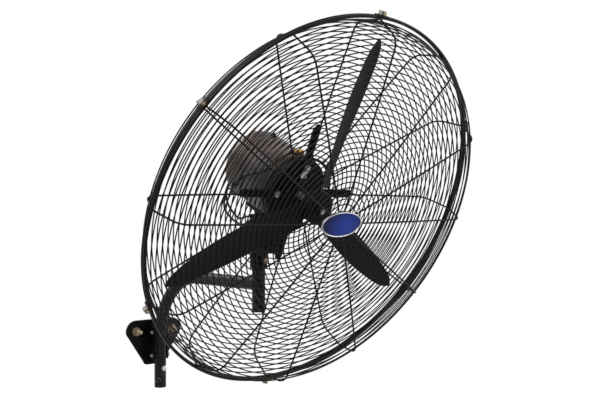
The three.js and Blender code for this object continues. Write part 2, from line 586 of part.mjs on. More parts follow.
const stayFront = REAR_DEPTH + SPOKE_THICKNESS / 2 + SEAT_GAP;
const stayBack = stayFront + STAY_THICKNESS;
const bellFront = stayBack + SEAT_GAP;
const bellBack = DRUM_FRONT - SEAT_GAP;
const boltHole = M8.shank + 2 * SEAT_GAP;
const stayBoltDepth = 12;
const stayAngles = { top: 90, left: 180, bottom: 270, right: 0 };
const stayBoltHoles = Object.values(stayAngles).map((degrees) => atAngle(
  barY(boltHole, bellFront - 1, bellFront + stayBoltDepth).translate(STAY_BOLT_CIRCLE, 0, 0),
  rad(degrees),
));
piece(head, 'motor_bell', carve(
  [
    revolve([[0, bellFront], [BELL_FACE_RADIUS, bellFront], [BELL_RADIUS, bellFront + BELL_EDGE],
      [BELL_RADIUS, bellBack], [0, bellBack]], 24),
    barY(2 * BEARING_BOSS_RADIUS, bellFront - BEARING_BOSS_HEIGHT, bellFront + 1, 20),
  ],
  [
    boreY(bellFront - BEARING_BOSS_HEIGHT - 1, bellBack + 1, SHAFT_DIAMETER + 2 * RUNNING_GAP),
    ...stayBoltHoles,
  ],
), BLACK_PAINT);

// The gearbox rounds off into the drum's rear face; crank and knob shafts stand in it.
const gearboxFront = DRUM_REAR + SEAT_GAP;
const gearboxMiddle = (GEARBOX_TOP + GEARBOX_BOTTOM) / 2;
const gearboxPoints = roundedBox(GEARBOX_HALF_WIDTH, (GEARBOX_TOP - GEARBOX_BOTTOM) / 2, GEARBOX_CORNER);
const crankY = SWIVEL_BACK + CRANK_BACK;
piece(head, 'gearbox', carve(
  [slabY(gearboxPoints, gearboxFront, gearboxFront + GEARBOX_DEPTH).translate(0, 0, gearboxMiddle)],
  [
    barZ(CRANK_SHAFT_DIAMETER + 2 * RUNNING_GAP, GEARBOX_BOTTOM - 1, GEARBOX_BOTTOM + CRANK_SHAFT_INSIDE)
      .translate(0, crankY, 0),
    barZ(KNOB_STEM_DIAMETER + 2 * RUNNING_GAP, GEARBOX_TOP - KNOB_STEM_INSIDE, GEARBOX_TOP + 1)
      .translate(0, crankY, 0),
  ],
), BROWN_BLACK);

const knobBottom = GEARBOX_TOP + KNOB_STEM_SHOWING;
piece(head, 'clutch_knob', revolve([
  [0, GEARBOX_TOP - KNOB_STEM_INSIDE + RUNNING_GAP],
  [KNOB_STEM_DIAMETER / 2, GEARBOX_TOP - KNOB_STEM_INSIDE + RUNNING_GAP],
  [KNOB_STEM_DIAMETER / 2, knobBottom], [KNOB_DIAMETER / 2 - 1, knobBottom],
  [KNOB_DIAMETER / 2, knobBottom + 3], [KNOB_DIAMETER / 2, knobBottom + KNOB_HEIGHT - 4],
  [KNOB_DIAMETER / 2 - 3, knobBottom + KNOB_HEIGHT], [0, knobBottom + KNOB_HEIGHT],
], 12).rotateX(Math.PI / 2).translate(0, crankY, 0), BROWN_BLACK);

const shoulderBottom = SOCKET_TOP + SEAT_GAP - AXIS_RISE;
const spindleBottom = SOCKET_BORE_END + RUNNING_GAP - AXIS_RISE;
piece(head, 'swivel_foot', carve(
  [
    box(2 * FOOT_HALF_WIDTH, 2 * FOOT_HALF_LENGTH, DRUM_RADIUS / 2).translate(0, SWIVEL_BACK,
      DRUM_RADIUS / 4 - FOOT_DEPTH),
    barZ(SPINDLE_SHOULDER_DIAMETER, shoulderBottom, -FOOT_DEPTH + 1, 18).translate(0, SWIVEL_BACK, 0),
    barZ(SPINDLE_DIAMETER, spindleBottom, -FOOT_DEPTH + 1, 16).translate(0, SWIVEL_BACK, 0),
  ],
  [revolve([[0, DRUM_FRONT], [DRUM_RADIUS + SEAT_GAP, DRUM_FRONT], [DRUM_RADIUS + SEAT_GAP, DRUM_REAR],
    [0, DRUM_REAR]], 24)],
), BLACK_PAINT);

// ---------------------------------------------------------------- guard stays
/** A strip from beside the bearing boss outwards, with its edges turned back beyond the bell. */
function stay() {
  const half = STAY_WIDTH / 2;
  const flangeFrom = BELL_RADIUS + 4;
  const flangeTo = STAY_OUTER - half;
  const strip = slabY([
    [STAY_INNER, -half], ...arc(STAY_OUTER - half, 0, half, -Math.PI / 2, Math.PI / 2, 8),
    [STAY_INNER, half],
  ], stayFront, stayBack);
  const flange = (side) => box(flangeTo - flangeFrom, STAY_FLANGE + 1, STAY_FLANGE_THICKNESS).translate(
    (flangeFrom + flangeTo) / 2,
    stayBack + (STAY_FLANGE - 1) / 2,
    side * (half - STAY_FLANGE_THICKNESS / 2),
  );
  const hole = barY(boltHole, stayFront - 1, stayBack + 1).translate(STAY_BOLT_CIRCLE, 0, 0);
  return carve([strip, flange(-1), flange(1)], [hole]);
}
for (const [name, degrees] of Object.entries(stayAngles)) {
  piece(head, `guard_stay_${name}`, atAngle(stay(), rad(degrees)), BROWN_BLACK);
  piece(head, `stay_bolt_${name}`, atAngle(bolt(M8, stayBoltDepth - 1)
    .translate(STAY_BOLT_CIRCLE, stayFront - SEAT_GAP, 0), rad(degrees)), BRIGHT_STEEL);
}

// ---------------------------------------------------------------- rotor
// Blade sections from root to tip: share of the blade's length, chord, pitch in degrees, and how far
// the middle of the chord lies behind the rim's plane.
const BLADE_SECTIONS = [
  { share: 0, chord: 50, pitch: 30, back: 9 },
  { share: 0.16, chord: 55, pitch: 28.6, back: 12.6 },
  { share: 0.32, chord: 59, pitch: 25, back: 15 },
  { share: 0.47, chord: 60, pitch: 20.6, back: 15.5 },
  { share: 0.62, chord: 57, pitch: 16, back: 14 },
  { share: 0.77, chord: 48, pitch: 12, back: 11.6 },
  { share: 0.89, chord: 37, pitch: 8, back: 9 },
  { share: 0.97, chord: 20, pitch: 6, back: 7.4 },
  { share: 1, chord: 8, pitch: 6, back: 7 },
];

/** A blade section interpolated at a radius. */
function bladeSection(radius) {
  const share = (radius - BLADE_ROOT_RADIUS) / (ROTOR_RADIUS - BLADE_ROOT_RADIUS);
  const upper = Math.max(1, BLADE_SECTIONS.findIndex((section) => section.share >= share - 1e-9));
  const [a, b] = [BLADE_SECTIONS[upper - 1], BLADE_SECTIONS[upper]];
  const mix = (share - a.share) / (b.share - a.share);
  const at = (key) => THREE.MathUtils.lerp(a[key], b[key], mix);
  return { radius, chord: at('chord'), pitch: rad(at('pitch')), back: at('back') };
}

/** Skins a run of closed sections, each a list of points, and caps both ends. */
function loft(sections) {
  const around = sections[0].length;
  const positions = sections.flat().flatMap((point) => point.toArray());
  const faces = [];
  for (let i = 0; i + 1 < sections.length; i += 1) {
    for (let k = 0; k < around; k += 1) {
      const next = (k + 1) % around;
      const [a, b] = [i * around + k, i * around + next];
      faces.push(a, a + around, b, b, a + around, b + around);
    }
  }
  for (let k = 1; k + 1 < around; k += 1) {
    const last = (sections.length - 1) * around;
    faces.push(0, k, k + 1, last, last + k + 1, last + k);
  }
  const geometry = new THREE.BufferGeometry();
  geometry.setAttribute('position', new THREE.Float32BufferAttribute(positions, 3));
  geometry.setIndex(faces);
  return geometry;
}

/** Section of a strip along +x: pitched about x, its front edge to the +z side. */
function stripSection({ radius, chord, pitch, back }, width, thickness, camber, offset, lean, cells) {
  const point = (along, depth) => {
    const bow = camber * chord * (1 - (2 * along / chord) ** 2) + offset + depth;
    return new THREE.Vector3(radius,
      back - along * Math.sin(pitch) + bow * Math.cos(pitch),
      lean + along * Math.cos(pitch) + bow * Math.sin(pitch));
  };
  const stations = Array.from({ length: cells + 1 }, (_, i) => width * (i / cells - 0.5));
  return [
    ...stations.map((along) => point(along, -thickness / 2)),
    ...stations.reverse().map((along) => point(along, thickness / 2)),
  ];
}

const bladeLean = (radius) => BLADE_SWEEP * (radius / ROTOR_RADIUS) ** 2;
const bladeBlank = () => loft(BLADE_SECTIONS.map(({ share }) => {
  const section = bladeSection(THREE.MathUtils.lerp(BLADE_ROOT_RADIUS, ROTOR_RADIUS, share));
  const lean = bladeLean(section.radius);
  return stripSection(section, section.chord, BLADE_THICKNESS, BLADE_CAMBER, 0, lean, 4);
}));

/** One arm of the hub, a flat strip that lies behind the blade and follows its twist. */
const hubArm = () => loft([HUB_RADIUS / 2, BLADE_ROOT_RADIUS, (BLADE_ROOT_RADIUS + HUB_ARM_REACH) / 2,
  HUB_ARM_REACH].map((radius) => {
  const section = bladeSection(Math.max(radius, BLADE_ROOT_RADIUS));
  section.radius = radius;
  const offset = BLADE_CAMBER * section.chord + (BLADE_THICKNESS + HUB_ARM_THICKNESS) / 2 + SEAT_GAP;
  return stripSection(section, HUB_ARM_WIDTH, HUB_ARM_THICKNESS, 0, offset, bladeLean(radius), 1);
}));

const bladeAngles = Array.from({ length: BLADE_COUNT }, (_, i) =>
  Math.PI / 2 + BLADE_PHASE + (i * 2 * Math.PI) / BLADE_COUNT);
bladeAngles.forEach((angle, i) => {
  piece(head, `blade_${i + 1}`, atAngle(bladeBlank(), angle), BLADE_BLACK);
});
piece(head, 'rotor_hub', carve(
  [
    revolve([[0, HUB_FRONT], [HUB_RADIUS - 3, HUB_FRONT], [HUB_RADIUS, HUB_FRONT + 3],
      [HUB_RADIUS, HUB_FRONT + HUB_PLATE], [HUB_NECK_RADIUS, HUB_FRONT + HUB_PLATE + 2],
      [HUB_NECK_RADIUS, HUB_REAR], [0, HUB_REAR]], 18),
    ...bladeAngles.map((angle) => atAngle(hubArm(), angle)),
  ],
  [barY(SHAFT_DIAMETER + 2 * SEAT_GAP, HUB_FRONT - 1, HUB_REAR + 1, 16)],
), BLACK_PAINT);
const shaftFront = HUB_FRONT - HUB_NUT_HEIGHT - 3;
piece(head, 'rotor_shaft',
  barY(SHAFT_DIAMETER, shaftFront, DRUM_FRONT + SHAFT_SEAT_DEPTH - RUNNING_GAP, 16), BRIGHT_STEEL);
piece(head, 'hub_nut', carve(
  [
    hexY(HUB_NUT_ACROSS, HUB_FRONT - SEAT_GAP - HUB_NUT_HEIGHT, HUB_FRONT - SEAT_GAP),
    barY(HUB_WASHER.diameter,
      HUB_FRONT - SEAT_GAP - HUB_WASHER.thickness, HUB_FRONT - SEAT_GAP - 0.01, 20),
  ],
  [barY(SHAFT_DIAMETER + 2 * SEAT_GAP, HUB_FRONT - 2 * HUB_NUT_HEIGHT, HUB_FRONT + 1, 16)],
), BRIGHT_STEEL);

// ---------------------------------------------------------------- guard
/**
 * One grille half as seen edge on: radius and depth along the middle of a spoke, from the hoop over
 * the rounded shoulder to the inner end.
 */
function grilleProfile(centreDepth, innerRadius) {
  const dome = (radius) =>
    centreDepth - (centreDepth - SHOULDER_DEPTH) * (radius / SHOULDER_RADIUS) ** 2;
  const rim = new THREE.Vector2(
    RIM_RADIUS - HOOP_THICKNESS / 2 - SPOKE_THICKNESS / 2 + WELD_BITE, HOOP_THICKNESS / 4 + SEAT_GAP);
  const corner = new THREE.Vector2(SHOULDER_RADIUS, SHOULDER_DEPTH);
  const faceRadius = SHOULDER_RADIUS - SHOULDER_ROUNDING;
  const face = new THREE.Vector2(faceRadius, dome(faceRadius));
  const side = corner.clone().sub(rim).setLength(SHOULDER_ROUNDING);
  const bend = new THREE.QuadraticBezierCurve(corner.clone().sub(side), corner, face);
  const stops = [0.66, 0.33, 0].map((share) => THREE.MathUtils.lerp(innerRadius, faceRadius, share));
  return [rim, ...bend.getPoints(3), ...stops.map((radius) => new THREE.Vector2(radius, dome(radius)))];
}

/** Normals of a profile's points, towards the rotor, stretched so that both legs keep their thickness. */
function profileNormals(profile) {
  const legNormal = (i) => {
    const leg = profile[i + 1].clone().sub(profile[i]).normalize();
    return new THREE.Vector2(leg.y, -leg.x);
  };
  return profile.map((_, i) => {
    const before = legNormal(Math.max(i - 1, 0));
    const after = legNormal(Math.min(i, profile.length - 2));
    const mean = before.clone().add(after).normalize();
    return mean.multiplyScalar(1 / mean.dot(after));
  });
}

/** A strip that follows the profile, between two offsets towards the rotor. */
function spoke(profile, side, outer, inner) {
  const normals = profileNormals(profile);
  const edge = (offset) => profile.map((point, i) => {
    const moved = point.clone().addScaledVector(normals[i], -offset);
    return [moved.x, side * moved.y];
  });
  return slab([...edge(outer), ...edge(inner).reverse()], -SPOKE_WIDTH / 2, SPOKE_WIDTH / 2);
}

/** Where the profile passes a radius on its face, or a share of its side band, and its inward normal. */
function profileSpot(profile, from, to, share) {
  const leg = profile[to].clone().sub(profile[from]);
  const direction = leg.clone().normalize();
  return {
    point: profile[from].clone().addScaledVector(leg, share),
    inward: new THREE.Vector2(-direction.y, direction.x),
  };
}

/** A three-sided ring whose flat lies against the spokes. */
function ring(spot, side, gap) {
  const tangent = new THREE.Vector2(-spot.inward.y, spot.inward.x);
  const corner = (along, depth) => {
    const place = spot.point.clone().addScaledVector(spot.inward, depth).addScaledVector(tangent, along);
    return [place.x, side * place.y];
  };
  const base = SPOKE_THICKNESS / 2 + gap;
  const a = corner(-RING_WIDTH / 2, base);
  const b = corner(RING_WIDTH / 2, base);
  const c = corner(0, base + RING_HEIGHT);
  const area = (b[0] - a[0]) * (c[1] - a[1]) - (b[1] - a[1]) * (c[0] - a[0]);
  const loop = area > 0 ? [a, b, c, a] : [a, c, b, a];
  const radius = spot.point.x;
  let sides = 36;
  if (radius < 270) sides = 24;
  if (radius < 95) sides = 12;
  return revolve(loop, sides);
}

/**
 * A grille half. The rings are welded to the spokes across the middle and lie a seat's gap clear of
 * the others; the spokes are welded to the hoop and to the piece in the middle.
 */
function grille(side, centreDepth, innerRadius, firstRing, middle) {
  const profile = grilleProfile(centreDepth, innerRadius);
  const inward = (sign) => sign * (SPOKE_THICKNESS / 2);
  let body = solid(middle);
  const hoopMiddle = side * (HOOP_THICKNESS / 2 + SEAT_GAP / 2);
  const half = HOOP_THICKNESS / 2;
  const hoop = revolve([
    [RIM_RADIUS - half, hoopMiddle - half], [RIM_RADIUS + half, hoopMiddle - half],
    [RIM_RADIUS + half, hoopMiddle + half], [RIM_RADIUS - half, hoopMiddle + half],
    [RIM_RADIUS - half, hoopMiddle - half],
  ], HOOP_SIDES, Math.PI / HOOP_SIDES);
  body = body.add(solid(hoop));
  const spots = [];
  for (let i = 1; i <= SIDE_RING_COUNT; i += 1) {
    spots.push(profileSpot(profile, 0, 1, i / (SIDE_RING_COUNT + 0.6)));
  }
  const facePoint = profile.length - 4;
  const faceRadius = profile[facePoint].x;
  for (let radius = firstRing; radius < faceRadius + 6; radius += RING_PITCH) {
    let leg = facePoint;
    while (leg < profile.length - 2 && profile[leg + 1].x > radius) leg += 1;
    const share = (profile[leg].x - radius) / (profile[leg].x - profile[leg + 1].x);
    spots.push(profileSpot(profile, leg, leg + 1, share));
  }
  const rings = spots.map((spot) => solid(ring(spot, side, SEAT_GAP)));
  for (let i = 0; i < SPOKE_COUNT; i += 1) {
    const welded = i % (SPOKE_COUNT / 2) === 0;
    const inner = welded ? inward(1) + SEAT_GAP + WELD_BITE : inward(1);
    const strip = atAngle(spoke(profile, side, inward(-1), inner), (i * 2 * Math.PI) / SPOKE_COUNT);
    body = body.add(solid(strip));
  }
  for (const loop of rings) body = body.add(loop);
  return geometryOf(body);
}

const frontDisc = barY(2 * FRONT_DISC_RADIUS,
  -(FRONT_DEPTH + FRONT_DISC_THICKNESS / 2), -(FRONT_DEPTH - FRONT_DISC_THICKNESS / 2), 24);
const rearRingInner = REAR_RING_RADIUS - REAR_RING_WIDTH / 2;
const rearRingOuter = REAR_RING_RADIUS + REAR_RING_WIDTH / 2;
const rearRingFront = REAR_DEPTH - REAR_RING_THICKNESS / 2;
const rearRingBack = REAR_DEPTH + REAR_RING_THICKNESS / 2;
const rearRing = revolve([
  [rearRingInner, rearRingFront], [rearRingOuter, rearRingFront],
  [rearRingOuter, rearRingBack], [rearRingInner, rearRingBack], [rearRingInner, rearRingFront],
], 24);
piece(head, 'front_guard',
  grille(-1, FRONT_DEPTH, FRONT_DISC_RADIUS - 4, FRONT_DISC_RADIUS + RING_PITCH, frontDisc), BLACK_PAINT);
piece(head, 'rear_guard',
  grille(1, REAR_DEPTH, REAR_RING_RADIUS, REAR_RING_RADIUS + RING_PITCH, rearRing), BLACK_PAINT);

/** A clip over both hoops, with a lug that its screw draws together. */
function rimClip() {
  const outer = RIM_RADIUS + HOOP_THICKNESS / 2 + SEAT_GAP;
  const beside = HOOP_THICKNESS + SEAT_GAP / 2 + SEAT_GAP;
  const wall = CLIP_THICKNESS;
  const inner = outer - CLIP_GRIP;
  const channel = slab([
    [inner, -beside - wall], [outer + wall, -beside - wall], [outer + wall, beside + wall],
    [inner, beside + wall], [inner, beside], [outer, beside], [outer, -beside], [inner, -beside],
  ], -CLIP_LENGTH / 2, CLIP_LENGTH / 2);
  const lug = box(CLIP_LUG.height + 1, 2 * beside, CLIP_LUG.length)
    .translate(outer + wall + CLIP_LUG.height / 2 - 0.5, 0, 0);
  const screw = barY(CLIP_LUG.bore, -beside - 1, beside + 1)
    .translate(outer + wall + CLIP_LUG.height / 2, 0, 0);
  return carve([channel, lug], [screw]);
}
for (const degrees of CLIP_ANGLES) {
  const name = degrees < 0 ? `m${-degrees}` : `${degrees}`;
  piece(head, `rim_clip_${name}`, atAngle(rimClip(), rad(degrees)), BLACK_PAINT);
}

// ---------------------------------------------------------------- badge
const oval = (inset, sides = 24) => Array.from({ length: sides }, (_, i) => {
  const turn = (2 * Math.PI * i) / sides;
  return [(BADGE_HALF_WIDTH - inset) * Math.cos(turn), (BADGE_HALF_HEIGHT - inset) * Math.sin(turn)];
});
const badgeBack = -(FRONT_DEPTH + SPOKE_THICKNESS / 2 + SEAT_GAP);
piece(head, 'badge_rim', carve(
  [slabY(oval(0), badgeBack - BADGE_RIM_HEIGHT, badgeBack)],
  [slabY(oval(BADGE_RIM_WIDTH), badgeBack - BADGE_RIM_HEIGHT - 1, badgeBack + 1)],
), BRIGHT_STEEL);
piece(head, 'badge_plate',
  slabY(oval(BADGE_RIM_WIDTH + SEAT_GAP), badgeBack - BADGE_PLATE_THICKNESS, badgeBack), BADGE_BLUE);

// ---------------------------------------------------------------- motor leads
const leadRadius = DRUM_RADIUS + LEAD_DIAMETER / 2 + SEAT_GAP + LEAD_LIFT;
const glandHeight = DRUM_RADIUS + GLAND_DIAMETER / 2;
const glandEnd = GLAND_OFFSET - GLAND_LENGTH / 2;
const glandSeat = GLAND_OFFSET + GLAND_LENGTH * GLAND_SEAT_SHIFT;
piece(head, 'lead_gland', carve(
  [
    barX(GLAND_DIAMETER, glandEnd, glandEnd + GLAND_LENGTH, 16).translate(0, GLAND_BACK, glandHeight),
    box(GLAND_LENGTH * GLAND_SEAT_LENGTH, GLAND_DIAMETER - 1, GLAND_DIAMETER / 2)
      .translate(glandSeat, GLAND_BACK, DRUM_RADIUS + GLAND_DIAMETER / 8),
  ],
  [barY(2 * (DRUM_RADIUS + SEAT_GAP), DRUM_FRONT - 1, DRUM_REAR, 64)],
), BRASS);

/** A place on the drum's side that the lead lies on: angle in degrees and distance behind the rim. */
const onDrum = (degrees, back, lift = 0) => new THREE.Vector3(
  (leadRadius + lift) * Math.cos(rad(degrees)), back, (leadRadius + lift) * Math.sin(rad(degrees)));
const leadEnd = onDrum(238, 253, -1);
const leadEndWay = new THREE.Vector3(0.15, 0.8, -0.4).normalize();
const pastLeadEnd = (distance) => leadEnd.clone().addScaledVector(leadEndWay, distance);
const drumLeadRoute = [
  new THREE.Vector3(glandEnd - SEAT_GAP, GLAND_BACK, glandHeight),
  new THREE.Vector3(glandEnd - 4, GLAND_BACK, glandHeight - 0.2),
  onDrum(113, 108, 1), onDrum(120, 111.5), onDrum(133, 110.5), onDrum(145, 113), onDrum(156, 122),
  onDrum(167, 144), onDrum(180.6, 171.5), onDrum(200, 195.5), onDrum(226, 227),
  pastLeadEnd(-4), leadEnd,
];
piece(head, 'motor_lead', cord(new THREE.CatmullRomCurve3(drumLeadRoute), 20), RUBBER);

const entryX = -(SOCKET_RADIUS + LEAD_ENTRY.reach + SEAT_GAP);
const entryZ = entryHeight - AXIS_RISE;
const outerLoopRoute = [
  pastLeadEnd(SEAT_GAP + 0.05), pastLeadEnd(5), new THREE.Vector3(-41, 262, -84),
  new THREE.Vector3(-40, 262, -98),
  new THREE.Vector3(-40, 259, -112), new THREE.Vector3(-40, 250, -122), new THREE.Vector3(-40, 227, -128.5),
  new THREE.Vector3(-40, 195, -129), new THREE.Vector3(-40, 174, -122), new THREE.Vector3(-37, 161, -106),
  new THREE.Vector3(entryX - 5, SWIVEL_BACK - LEAD_ENTRY.spread, entryZ - 0.2),
  new THREE.Vector3(entryX, SWIVEL_BACK - LEAD_ENTRY.spread, entryZ),
];
const outletY = gearboxFront + 10;
const innerLoopRoute = [
  new THREE.Vector3(-(GEARBOX_HALF_WIDTH + SEAT_GAP), outletY, -62),
  new THREE.Vector3(-(GEARBOX_HALF_WIDTH + 4), outletY, -62.4), new THREE.Vector3(-33, 270, -72),
  new THREE.Vector3(-33, 271, -84), new THREE.Vector3(-33, 266, -98), new THREE.Vector3(-33.5, 253, -109),
  new THREE.Vector3(-34, 229.6, -117.5), new THREE.Vector3(-34, 200, -120),
  new THREE.Vector3(-35.5, 179, -106),
  new THREE.Vector3(entryX - 5, SWIVEL_BACK + LEAD_ENTRY.spread, entryZ - 0.2),
  new THREE.Vector3(entryX, SWIVEL_BACK + LEAD_ENTRY.spread, entryZ),
];
piece(head, 'lead_loop_outer', cord(new THREE.CatmullRomCurve3(outerLoopRoute), 13), RUBBER);
piece(head, 'lead_loop_inner', cord(new THREE.CatmullRomCurve3(innerLoopRoute), 12), RUBBER);

/** Rubber clip on the drum's side, bored along the lead that passes through it. */
function leadClip() {
  const curve = new THREE.CatmullRomCurve3(drumLeadRoute);
  const target = onDrum(THREE.MathUtils.radToDeg(LEAD_CLIP_ANGLE), LEAD_CLIP_BACK);
  const samples = curve.getPoints(400);
  let nearest = 0;
  samples.forEach((sample, i) => {
    if (sample.distanceTo(target) < samples[nearest].distanceTo(target)) nearest = i;
  });
  const tangent = samples[nearest + 1].clone().sub(samples[nearest - 1]).normalize();
  const turn = new THREE.Quaternion().setFromUnitVectors(new THREE.Vector3(0, 1, 0), tangent);
  const along = (geometry) => geometry.applyQuaternion(turn)
    .translate(samples[nearest].x, samples[nearest].y, samples[nearest].z);
  const bore = LEAD_DIAMETER + LEAD_CLIP_ROOM;
  const half = LEAD_CLIP_HALF_LENGTH;
  return carve(
    [along(barY(bore + 2 * LEAD_CLIP_WALL, -half, half, 12))],
    [
      along(barY(bore, -half - 3, half + 3, 12)),
      barY(2 * (DRUM_RADIUS + SEAT_GAP), DRUM_FRONT - 1, DRUM_REAR, 64),
    ],
  );
}
piece(head, 'lead_clip', leadClip(), RUBBER);

export default fan;
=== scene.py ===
"""Looks of a wall mounted fan: wire guard, twisted blades, drum motor and bent tube arm.

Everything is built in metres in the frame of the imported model. Sizes are written in millimetres and
turned into metres by the Place that a surface is built in.
"""
import json
import logging
import math
from dataclasses import dataclass, field
from enum import Enum

import bmesh
import bpy
import numpy as np
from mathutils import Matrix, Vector


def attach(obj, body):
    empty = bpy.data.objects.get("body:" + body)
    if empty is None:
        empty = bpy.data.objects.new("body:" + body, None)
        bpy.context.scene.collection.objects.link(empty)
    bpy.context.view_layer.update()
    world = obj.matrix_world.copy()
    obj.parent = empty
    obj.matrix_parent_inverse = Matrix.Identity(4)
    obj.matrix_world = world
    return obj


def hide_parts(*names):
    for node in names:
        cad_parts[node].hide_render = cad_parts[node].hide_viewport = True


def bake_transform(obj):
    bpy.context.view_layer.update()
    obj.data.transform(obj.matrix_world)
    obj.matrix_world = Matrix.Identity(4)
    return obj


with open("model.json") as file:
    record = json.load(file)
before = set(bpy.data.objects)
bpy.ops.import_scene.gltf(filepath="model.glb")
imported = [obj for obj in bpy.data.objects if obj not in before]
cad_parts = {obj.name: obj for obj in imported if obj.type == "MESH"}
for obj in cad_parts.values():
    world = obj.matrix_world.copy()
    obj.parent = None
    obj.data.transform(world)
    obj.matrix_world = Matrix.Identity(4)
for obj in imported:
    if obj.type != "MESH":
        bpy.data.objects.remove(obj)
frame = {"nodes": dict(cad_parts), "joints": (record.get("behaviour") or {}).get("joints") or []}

logging.basicConfig(level=logging.INFO, format="%(message)s")
LOG = logging.getLogger("fan")

MM = 0.001
TURN = 2 * math.pi
SEAT = 0.3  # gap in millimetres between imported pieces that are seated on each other
Array = np.ndarray


class Body(Enum):
    """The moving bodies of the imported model."""

    ARM = "wall_arm"
    FORK = "fork"
    NECK = "neck"
    LINK = "link"
    HEAD = "head"
    ROTOR = "rotor"
    CRANK = "crank"
    KNOB = "knob"


# ---------------------------------------------------------------- shader expressions
# places of a colour Mix node's sockets, which share their names with its other kinds
MIX_FACTOR, MIX_FIRST, MIX_SECOND, MIX_COLOUR = 0, 6, 7, 2


class Value:
    """A number or colour on a shader link; the operators add Math nodes to its graph."""

    def __init__(self, graph: "Graph", socket: bpy.types.NodeSocket) -> None:
        """Wraps one output socket.

        Args:
            graph: the graph that the socket belongs to.
            socket: the output socket.
        """
        self.graph = graph
        self.socket = socket

    def _math(self, operation: str, first: object, second: object) -> "Value":
        """One Math node.

        Args:
            operation: the Math node's operation.
            first: left operand, a Value or a number.
            second: right operand, a Value or a number.

        Returns:
            The node's result.
        """
        return self.graph.add("ShaderNodeMath", {"operation": operation}, {0: first, 1: second})

    def __add__(self, other: object) -> "Value":
        """Sum."""
        return self._math("ADD", self, other)

    def __radd__(self, other: object) -> "Value":
        """Sum, reflected."""
        return self._math("ADD", other, self)

    def __sub__(self, other: object) -> "Value":
        """Difference."""
        return self._math("SUBTRACT", self, other)

    def __rsub__(self, other: object) -> "Value":
        """Difference, reflected."""
        return self._math("SUBTRACT", other, self)

    def __mul__(self, other: object) -> "Value":
        """Product."""
        return self._math("MULTIPLY", self, other)

    def __rmul__(self, other: object) -> "Value":
        """Product, reflected."""
        return self._math("MULTIPLY", other, self)


class Graph:
    """The node tree of one material or of the world."""

    def __init__(self, owner: bpy.types.Material | bpy.types.World) -> None:
        """Empties the tree of its owner.

        Args:
            owner: the material or world that the tree belongs to.
        """
        self.owner = owner
        owner.use_nodes = True
        self.tree = owner.node_tree
        self.tree.nodes.clear()

    def node(self, kind: str, settings: dict[str, object] | None = None,
             sockets: dict[int | str, object] | None = None) -> bpy.types.Node:
        """Adds one node.

        Args:
            kind: the node's type.
            settings: its own settings, such as an operation, which are set first.
            sockets: values or links of its inputs, by place or name.

        Returns:
            The node.
        """
        node = self.tree.nodes.new(kind)
        for key, value in (settings or {}).items():
            setattr(node, key, value)
        for key, value in (sockets or {}).items():
            if isinstance(value, Value):
                self.tree.links.new(value.socket, node.inputs[key])
            else:
                node.inputs[key].default_value = value
        return node

    def add(self, kind: str, settings: dict[str, object] | None = None,
            sockets: dict[int | str, object] | None = None, out: int | str = 0) -> Value:
        """Adds one node and gives one of its outputs.

        Args:
            kind: the node's type.
            settings: its own settings.
            sockets: values or links of its inputs, by place or name.
            out: the output that is wanted.

        Returns:
            That output.
        """
        return Value(self, self.node(kind, settings, sockets).outputs[out])

    def place(self) -> Value:
        """Object coordinates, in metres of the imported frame."""
        return self.add("ShaderNodeTexCoord", out="Object")

    def noise(self, at: Value, scale: float, detail: float = 3.0, rough: float = 0.55) -> Value:
        """Noise from 0 to 1.

        Args:
            at: coordinates.
            scale: waves per metre.
            detail: octaves.
            rough: weight of the finer octaves.

        Returns:
            The noise.
        """
        return self.add("ShaderNodeTexNoise", None,
                        {"Vector": at, "Scale": scale, "Detail": detail, "Roughness": rough})

    def step(self, value: Value, low: float, high: float) -> Value:
        """A smooth slope from 0 to 1 between two numbers, flat before and past them.

        Args:
            value: what is mapped.
            low: the number that gives 0.
            high: the number that gives 1; it may be the lower one.

        Returns:
            The mapped value.
        """
        return self.add("ShaderNodeMapRange", {"interpolation_type": "SMOOTHSTEP"},
                        {"Value": value, "From Min": low, "From Max": high})

    def along(self, at: Value, axis: Array, origin: Array) -> Value:
        """Distance along an axis: the dot product of the axis with the place, less the origin's.

        Args:
            at: coordinates.
            axis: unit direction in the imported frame.
            origin: where the distance is zero.

        Returns:
            The distance in metres.
        """
        dot = self.add("ShaderNodeVectorMath", {"operation": "DOT_PRODUCT"},
                       {0: at, 1: tuple(float(v) for v in axis)}, out="Value")
        return dot - float(np.dot(axis, origin))

    def mix(self, factor: Value, first: object, second: object) -> Value:
        """Colours mixed by a factor.

        Args:
            factor: 0 gives the first colour and 1 the second.
            first: colour or link.
            second: colour or link.

        Returns:
            The mixed colour.
        """
        return self.add("ShaderNodeMix", {"data_type": "RGBA"},
                        {MIX_FACTOR: factor, MIX_FIRST: first, MIX_SECOND: second}, out=MIX_COLOUR)

    def bump(self, height: Value, strength: float, depth: float) -> Value:
        """A normal bent by a height.

        Args:
            height: 0 to 1.
            strength: how much of it shows.
            depth: height of 1, in metres.

        Returns:
            The normal.
        """
        return self.add("ShaderNodeBump", None,
                        {"Strength": strength, "Distance": depth, "Height": height}, out="Normal")

    def surface(self, **sockets: object) -> bpy.types.Material:
        """Closes the graph with a Principled shader.

        Args:
            **sockets: its inputs, with _ for a space.

        Returns:
            The finished material.
        """
        shader = self.add("ShaderNodeBsdfPrincipled", None,
                          {key.replace("_", " "): value for key, value in sockets.items()})
        self.node("ShaderNodeOutputMaterial", None, {"Surface": shader})
        return self.owner


def new_finish(name: str) -> Graph:
    """The empty graph of a new material."""
    return Graph(bpy.data.materials.new(name))


